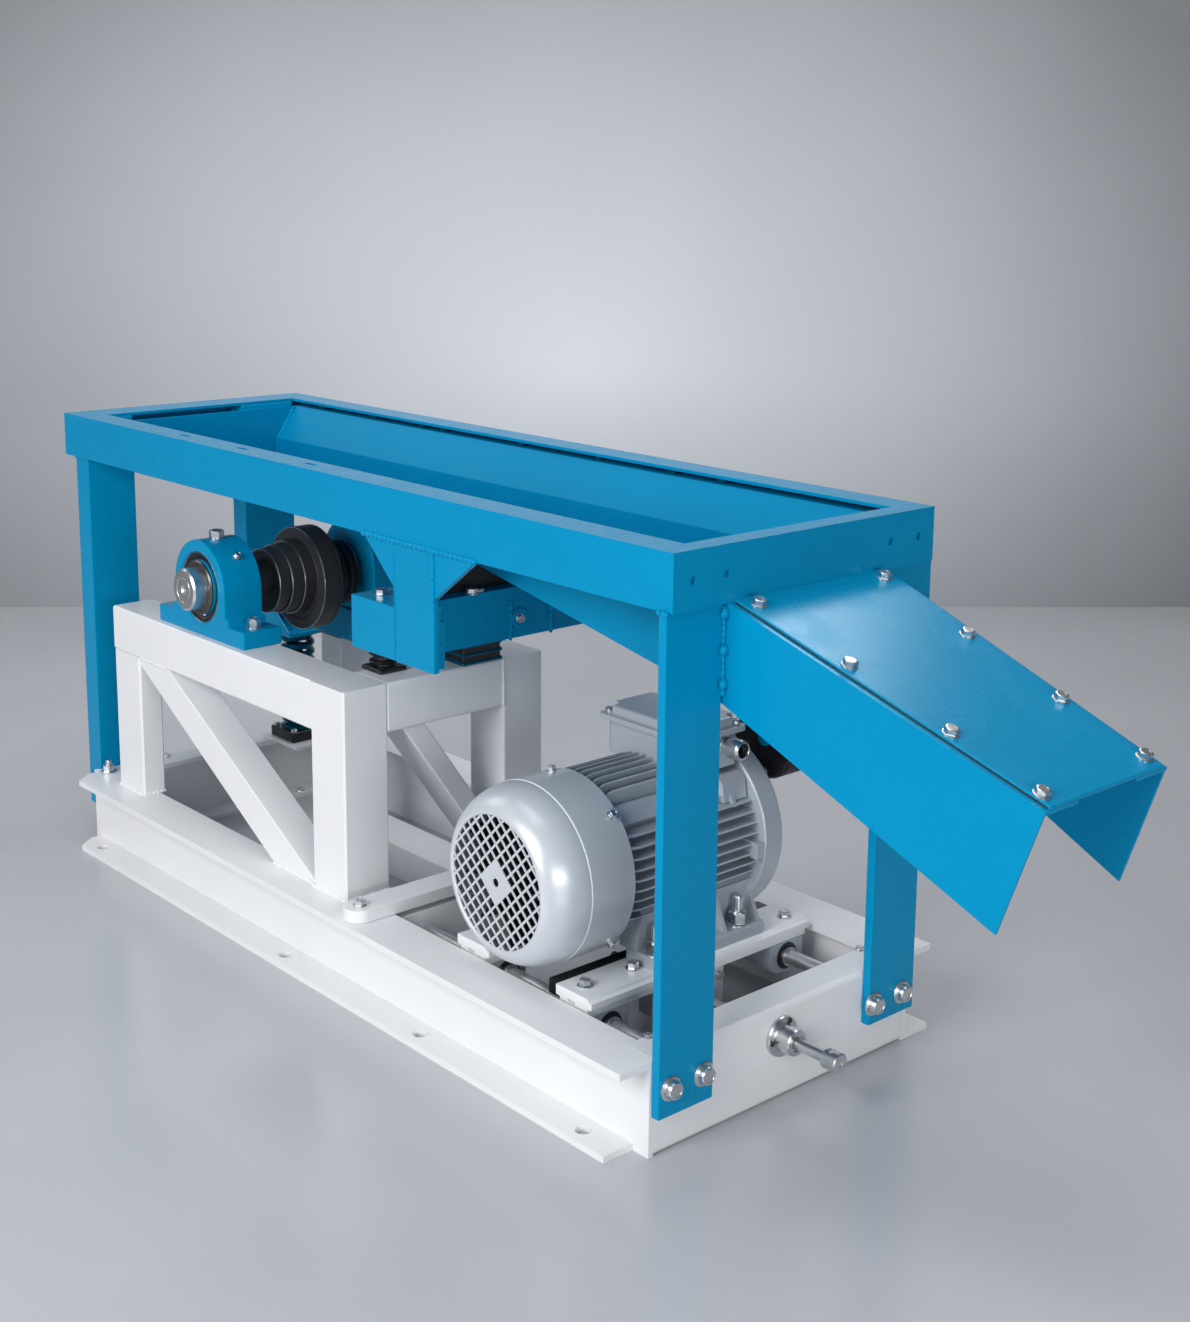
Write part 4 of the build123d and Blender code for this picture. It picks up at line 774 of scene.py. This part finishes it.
# Fan cover. One spun pressing slides over the casting's near end: a plain barrel, a swaged bead, a
# domed shoulder, and a flat grille of square holes set cornerwise round a blank middle.
MESH, MESH_COUNT, MESH_WIRE, GRILLE_R, GRILLE_Y = 15.2, 15, 1.6, 93, -256.2
COVER_R, FAN_BLADES = 126.6, 9
cover_enamel = enamel("cover_enamel", (0.62, 0.655, 0.70), 0.29, flake=0.2)
cover = turned([(127, -120), (127, -194), (126.2, -195), (126.2, -196.4), (126.7, -198), (126.2, -207),
                (124.6, -217), (121.6, -228), (117.4, -238), (112, -246.5), (106.5, -252.6), (101, -256.8),
                (97, -258.6), (94.6, -258.8), (93, -257.8), (92.4, -256.4), (92.4, -254.6), (97, -254.6),
                (104, -250), (113, -239), (120, -222), (123, -204), (124, -190), (124, -120), (127, -120)],
               CENTRE, FAR, 128)
settled(finished(cover, cover_enamel), "cover_pressing", "motor", "motor_paint", "fan_cover")
# The swaged bead is painted near white, lighter than the cover. This is a painted highlight along the swage.
swage = turned([(125.8, -193.8), (127, -194), (127.3, -194.8), (127.3, -195.6), (127, -196.4), (125.8, -196.6),
                (125.8, -193.8)], CENTRE, FAR, 128)
settled(finished(swage, enamel("swage_painted_highlight", (0.86, 0.88, 0.9))), "cover_bead", "motor", "motor_paint")
bpy.ops.object.select_all(action="DESELECT")
bpy.ops.mesh.primitive_grid_add(x_subdivisions=MESH_COUNT, y_subdivisions=MESH_COUNT, size=MESH * MESH_COUNT * MM)
grille = bpy.context.object
bpy.ops.object.mode_set(mode="EDIT")
bpy.ops.mesh.select_all(action="DESELECT")
bpy.ops.object.mode_set(mode="OBJECT")
for face in grille.data.polygons:
    face.select = max(abs(face.center.x), abs(face.center.y)) > 1.55 * MESH * MM
bpy.ops.object.mode_set(mode="EDIT")
bpy.ops.mesh.select_mode(type="FACE")
bpy.ops.mesh.inset(thickness=MESH_WIRE * MM, use_individual=True, use_even_offset=True)
bpy.ops.mesh.delete(type="FACE")
bpy.ops.mesh.select_mode(type="VERT")
bpy.ops.object.mode_set(mode="OBJECT")
modified(grille, "SOLIDIFY", thickness=MESH_WIRE * MM, offset=0)
stand = Matrix.Translation((AXIS_X * MM, GRILLE_Y * MM, AXIS_Z * MM))
grille.data.transform(stand @ Matrix.Rotation(math.pi / 2, 4, "X") @ Matrix.Rotation(math.pi / 4, 4, "Z"))
for radius, around, operation in ((GRILLE_R, 96, "INTERSECT"), (6, 32, "DIFFERENCE")):
    drum = turned([(0, -260), (radius, -260), (radius, -240), (0, -240)], CENTRE, FAR, around)
    trimmed(grille, drum, operation)
settled(finished(outward(grille), cover_enamel), "cover_grille", "motor", "motor_paint")
blade = bar((AXIS_X + 20, -236, AXIS_Z - 1.2), (AXIS_X + 100, -190, AXIS_Z + 1.2))
fan = [turned([(0, -190), (112, -190), (112, -188), (0, -188)], CENTRE, FAR),
       turned([(0, -240), (22, -240), (26, -190), (0, -190)], CENTRE, FAR)]
for number in range(FAN_BLADES):
    copy = bpy.data.objects.new("fan_blade", blade.data.copy())
    bpy.context.scene.collection.objects.link(copy)
    fan.append(swung(copy, 360 / FAN_BLADES * number + 9))
bpy.data.objects.remove(blade)
settled(finished(joined(fan), rubber), "fan", "motor", "black_rubber")
around_cover = [(Vector(CENTRE) + spoke(angle) * COVER_R + Vector((0, y, 0)), spoke(angle), turn)
                for angle, y, turn in ((45, -131, 10), (-45, -131, 10), (135, -131, 10), (-135, -131, 10),
                                       (101, -138, 22))]
set_out("cover_screws", hex_head(10, 6.5, 14, 1.5), around_cover, zinc_plate, "motor")
ears = [(place - direction * 2 + Vector((0, 6, 0)), direction) for place, direction, _ in around_cover[:4]]
ear = turned([(0, -12), (10, -12), (10, 3), (8, 5), (0, 5)], around=24)
set_out("cover_ears", stripped(ear), ears, motor_enamel, "motor", "motor_paint")

# Drive end. A thick cast shield closes the far end, held by four bolts in lugs, with a stepped boss
# round the keyed shaft end.
disc = [(0, 122), (133, 122), (135, 123), (136, 125), (136, 156), (133.5, 159.4), (118, 160), (106, 160), (99, 162),
        (94, 167), (87, 174), (60, 174), (58, 172), (44, 172), (42, 174), (0, 174)]
shield = [turned(disc, CENTRE, FAR, 96)]
for angle in (4, 94, 184, 274):
    shield.append(swung(plate(from_axis((98, -12), (134, -12), (134, 12), (98, 12)), 108, 159), angle))
settled(finished(joined(shield), motor_enamel, 0.0012), "shield_casting", "motor", "motor_paint", "drive_end_shield")
shield_bolts = [(Vector(CENTRE) + spoke(angle) * 121 + Vector((0, 159.5, 0)), FAR, angle)
                for angle in (45, 135, 225, 315)]
set_out("shield_bolts", m10_bolt, shield_bolts, zinc_plate, "motor")
from_solid("motor_shaft_end", ground_steel, 0.0006, "motor", "bright_steel")
settled(finished(bar((AXIS_X - 5, 182, AXIS_Z + 17), (AXIS_X + 5, 232, AXIS_Z + 21.5)), ground_steel, 0.0006),
        "shaft_key", "motor", "bright_steel")

# Terminal box. A cast box on a short neck, with a gasketed lid that overhangs it, a raised panel,
# and a screw set into each corner of the panel. A plated cable gland opens at its outlet side.
def soft_corners(x0, y0, x1, y1, radius, steps=5):
    """The outline of a rectangle with round corners, in mm."""
    points = []
    for cx, cy, first in ((x1 - radius, y1 - radius, 0), (x0 + radius, y1 - radius, 90),
                          (x0 + radius, y0 + radius, 180), (x1 - radius, y0 + radius, 270)):
        for i in range(steps + 1):
            angle = math.radians(first + 90 * i / steps)
            points.append((cx + radius * math.cos(angle), cy + radius * math.sin(angle)))
    return points


box = [plate(soft_corners(368.5, 14, 534.5, 118, 12), 384, 430.5, "Z"), bar((396, 26, 368), (508, 106, 385)),
       plate(soft_corners(376, 22, 527, 110, 12), 380, 385, "Z")]
settled(finished(joined(box), motor_enamel, 0.0015), "terminal_box_shape", "motor", "motor_paint", "terminal_box")
gasket = plate(soft_corners(372, 18, 531, 114, 10), 430, 434, "Z")
settled(finished(gasket, rubber), "box_gasket", "motor", "black_rubber")
lid = [plate(soft_corners(359.5, 5, 543.5, 127, 9), 433.5, 441.5, "Z")]
panel = plate(soft_corners(367, 12, 536, 120, 9), 440, 455.5, "Z")
modified(panel, "BEVEL", width=0.004, segments=3, limit_method="ANGLE", angle_limit=math.radians(60))
corner_spots = [(x, y) for x in (373, 530) for y in (18, 114)]
for x, y in corner_spots:
    trimmed(panel, turned([(0, 443), (12, 443), (12, 470), (0, 470)], (x, y, 0), UP, 32))
lid.append(panel)
settled(finished(joined(lid), motor_enamel, 0.0012), "terminal_lid_shape", "motor", "motor_paint", "terminal_lid")
lid_screw = turned([(0, 0), (7.6, 0), (7.6, 5.4), (6.4, 6.8), (3.4, 6.8), (3.2, 4), (0, 4)], around=24)
set_out("box_lid_screws", stripped(lid_screw), [((x, y, 442.5), UP) for x, y in corner_spots], zinc_plate, "motor")
GLAND_X, GLAND_Y, GLAND_Z = 534.5, 91, 416
gland = turned([(0, 0), (15, 0), (15, 3), (13, 3.8), (13, 9), (14.6, 10), (15, 12), (15, 31), (14.2, 34),
                (12.6, 35.6), (11, 35.8), (10, 34), (9.8, 18), (0, 18)], (GLAND_X, GLAND_Y, GLAND_Z), OUT, 48)
settled(finished(gland, zinc_plate), "cable_gland", "motor", "motor_paint")
socket = turned([(0, 0), (9.7, 0), (9.7, 9), (6.2, 12.6), (5.2, 12.6), (5.2, 6), (0, 6)],
                (GLAND_X + 18, GLAND_Y, GLAND_Z), OUT, 32)
settled(finished(socket, rubber), "gland_seal", "motor", "black_rubber")

# Slide. The motor stands on two stepped bars over bush blocks, which slide on two guide rods. A lead
# screw through the front channel moves them by a nut block under the front bar.
BAR_XS, BAR_TOP, ROD_Y, ROD_Z, ROD_HOLE = (343.5, 559.5), 144, 172, 95, 11.3
BAR_PROFILE = ((-28, 117), (28, 117), (28, 129), (36, 130), (36, 139), (29, 140), (27.5, BAR_TOP), (-36, BAR_TOP),
               (-36, 130), (-28, 129))
bars = []
for x in BAR_XS:
    top = plate([(x + u, v) for u, v in BAR_PROFILE], -212, 212)
    trimmed(top, bar((x - 12, -213, 126), (x + 2, -204, 130.5)))
    bars.append(top)
settled(finished(joined(bars), white_enamel, 0.0007), "slide_bar_shapes", "motor", "white_paint", "slide_bars")
# A black rubber strip lies under the motor between the bars. Its black is also painted shade for the dark gap there.
from_solid("damper_strip", rubber, 0.0015, "motor", "black_rubber")
bar_bolts = [((x + dx, y, BAR_TOP), UP, 3 * y) for x in BAR_XS for dx, y in ((-5, -187), (-4, -101), (9, 187))]
set_out("bar_bolts", hex_head(15, 8, 22, 2), bar_bolts, zinc_plate, "motor")
BLOCK_HALF = (34, 117), (34, 92), (30, 80), (22, 72.5), (10, 70)
bush_seal = [(ROD_HOLE, 0), (20, 0), (20, 1.6), (18, 2.6), (14.6, 2.6), (14, 1), (ROD_HOLE, 1), (ROD_HOLE, 0)]
bush_ring = [(ROD_HOLE, 0), (14.2, 0), (14.2, 7), (13.4, 8), (ROD_HOLE, 8), (ROD_HOLE, 0)]
blocks, bush_seals, bush_rings = [], [], []
for x in BAR_XS:
    for y in (-ROD_Y, ROD_Y):
        outline = [(y - v, z) for v, z in BLOCK_HALF] + [(y + v, z) for v, z in reversed(BLOCK_HALF)]
        bore = [(0, x - 40), (ROD_HOLE, x - 40), (ROD_HOLE, x + 40), (0, x + 40)]
        blocks.append(trimmed(plate(outline, x - 29, x + 29, "X"), turned(bore, (0, y, ROD_Z), OUT, 40)))
        for face, facing in ((x + 28.5, OUT), (x - 28.5, BACK)):
            bush_seals.append(turned(bush_seal, (face, y, ROD_Z), facing, 40))
            bush_rings.append(turned(bush_ring, (face, y, ROD_Z), facing, 40))
settled(finished(joined(blocks), motor_enamel, 0.0016), "bush_castings", "motor", "motor_paint", "bush_blocks")
settled(finished(joined(bush_seals), rubber), "bush_seals", "motor", "black_rubber")
settled(finished(joined(bush_rings), ground_steel), "bush_rings", "motor", "bright_steel")
from_solid("guide_rods", metal("rod_steel", (0.80, 0.81, 0.83), 0.3), 0.0004, "base", "bright_steel")
from_solid("nut_block", cover_enamel, 0.0016, "motor", "motor_paint")
nut_screw = turned([(0, 0), (7, 0), (7, 1.5), (5.6, 2), (5.6, 6), (3.2, 6.4), (3, 3), (0, 3)], around=24)
NUT_FACE, SCREW_Y, SCREW_Z = 584.5, -12, 89
set_out("nut_screws", stripped(nut_screw), [((NUT_FACE, y, 104), OUT) for y in (36, -58)], zinc_plate, "motor")
sleeve = turned([(8.6, 0), (17, 0), (17, 18), (15.5, 20), (8.6, 20), (8.6, 0)], (NUT_FACE, SCREW_Y, SCREW_Z), OUT, 40)
settled(finished(sleeve, rubber), "nut_sleeve", "motor", "black_rubber")

# Lead screw. A plain bright rod turns in a flanged collar on the front channel, and a notched cap on
# its outer end takes the key that turns it.
SCREW, FLANGE_FACE, FLANGE_SCREWS_R = (0, SCREW_Y, SCREW_Z), 754, 23
flange = turned([(8.4, END_X), (28, END_X), (28, 752), (26.5, FLANGE_FACE), (19, 754.2), (18.5, 755.5), (18.5, 775),
                 (17, 778), (11.5, 778.5), (10.6, 776.5), (8.4, 776.5), (8.4, END_X)], SCREW, OUT, 64)
settled(finished(flange, ground_steel), "screw_flange", "base", "motor_paint", "screw_collar")
screws = [((FLANGE_FACE, SCREW_Y + FLANGE_SCREWS_R * math.cos(turn), SCREW_Z + FLANGE_SCREWS_R * math.sin(turn)), OUT)
          for turn in map(math.radians, (65, 185, 305))]
flange_screw = turned([(0, 0), (4.2, 0), (4.2, 1.4), (3.2, 2), (2.2, 2), (2, 0.4), (0, 0.4)], around=20)
set_out("flange_screws", stripped(flange_screw), screws, smoked_steel)
rod = turned([(0, 417.5), (7, 417.5), (8, 418.5), (8, 828.5), (12.6, 828.5), (13.5, 829.6), (13.5, 850.8), (12, 852.5),
              (4, 852.5), (3.4, 851.4), (0, 851.4)], SCREW, OUT, 48)
trimmed(rod, bar((832, -18, 100), (842, -6, 106)))
settled(finished(rod, ground_steel), "lead_screw_shape", "screw", "bright_steel", "lead_screw")

# Ribbed drum. A rubber-faced idler with fine ribs stands on a stub axle behind the motor, from a
# strap under the far side of the rim.
DRUM, FACE_RIBS, TREAD_RIBS, TREAD_PITCH = (522.5, 0, 405), (26, 32, 38, 44, 50), 9, 5.1
ribs = [(12, 183.6), (20, 183.6), (20, 182.4)]
for r in FACE_RIBS:
    ribs += [(r, 182.2), (r + 0.4, 183.8), (r + 2.4, 183.8), (r + 2.8, 182.2)]
ribs += [(57, 182.2), (58.5, 184)]
for i in range(TREAD_RIBS):
    y = 184 + TREAD_PITCH * i
    ribs += [(60, y + 1), (60, y + 3.2), (56.5, y + 4), (56.5, y + 4.6)]
ribs += [(58.5, 230.5), (57, 231.5), (12, 231.5), (12, 183.6)]
settled(finished(turned(ribs, DRUM, FAR, 72), rubber), "drum_tread", "base", "black_rubber", "ribbed_drum")


low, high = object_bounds()
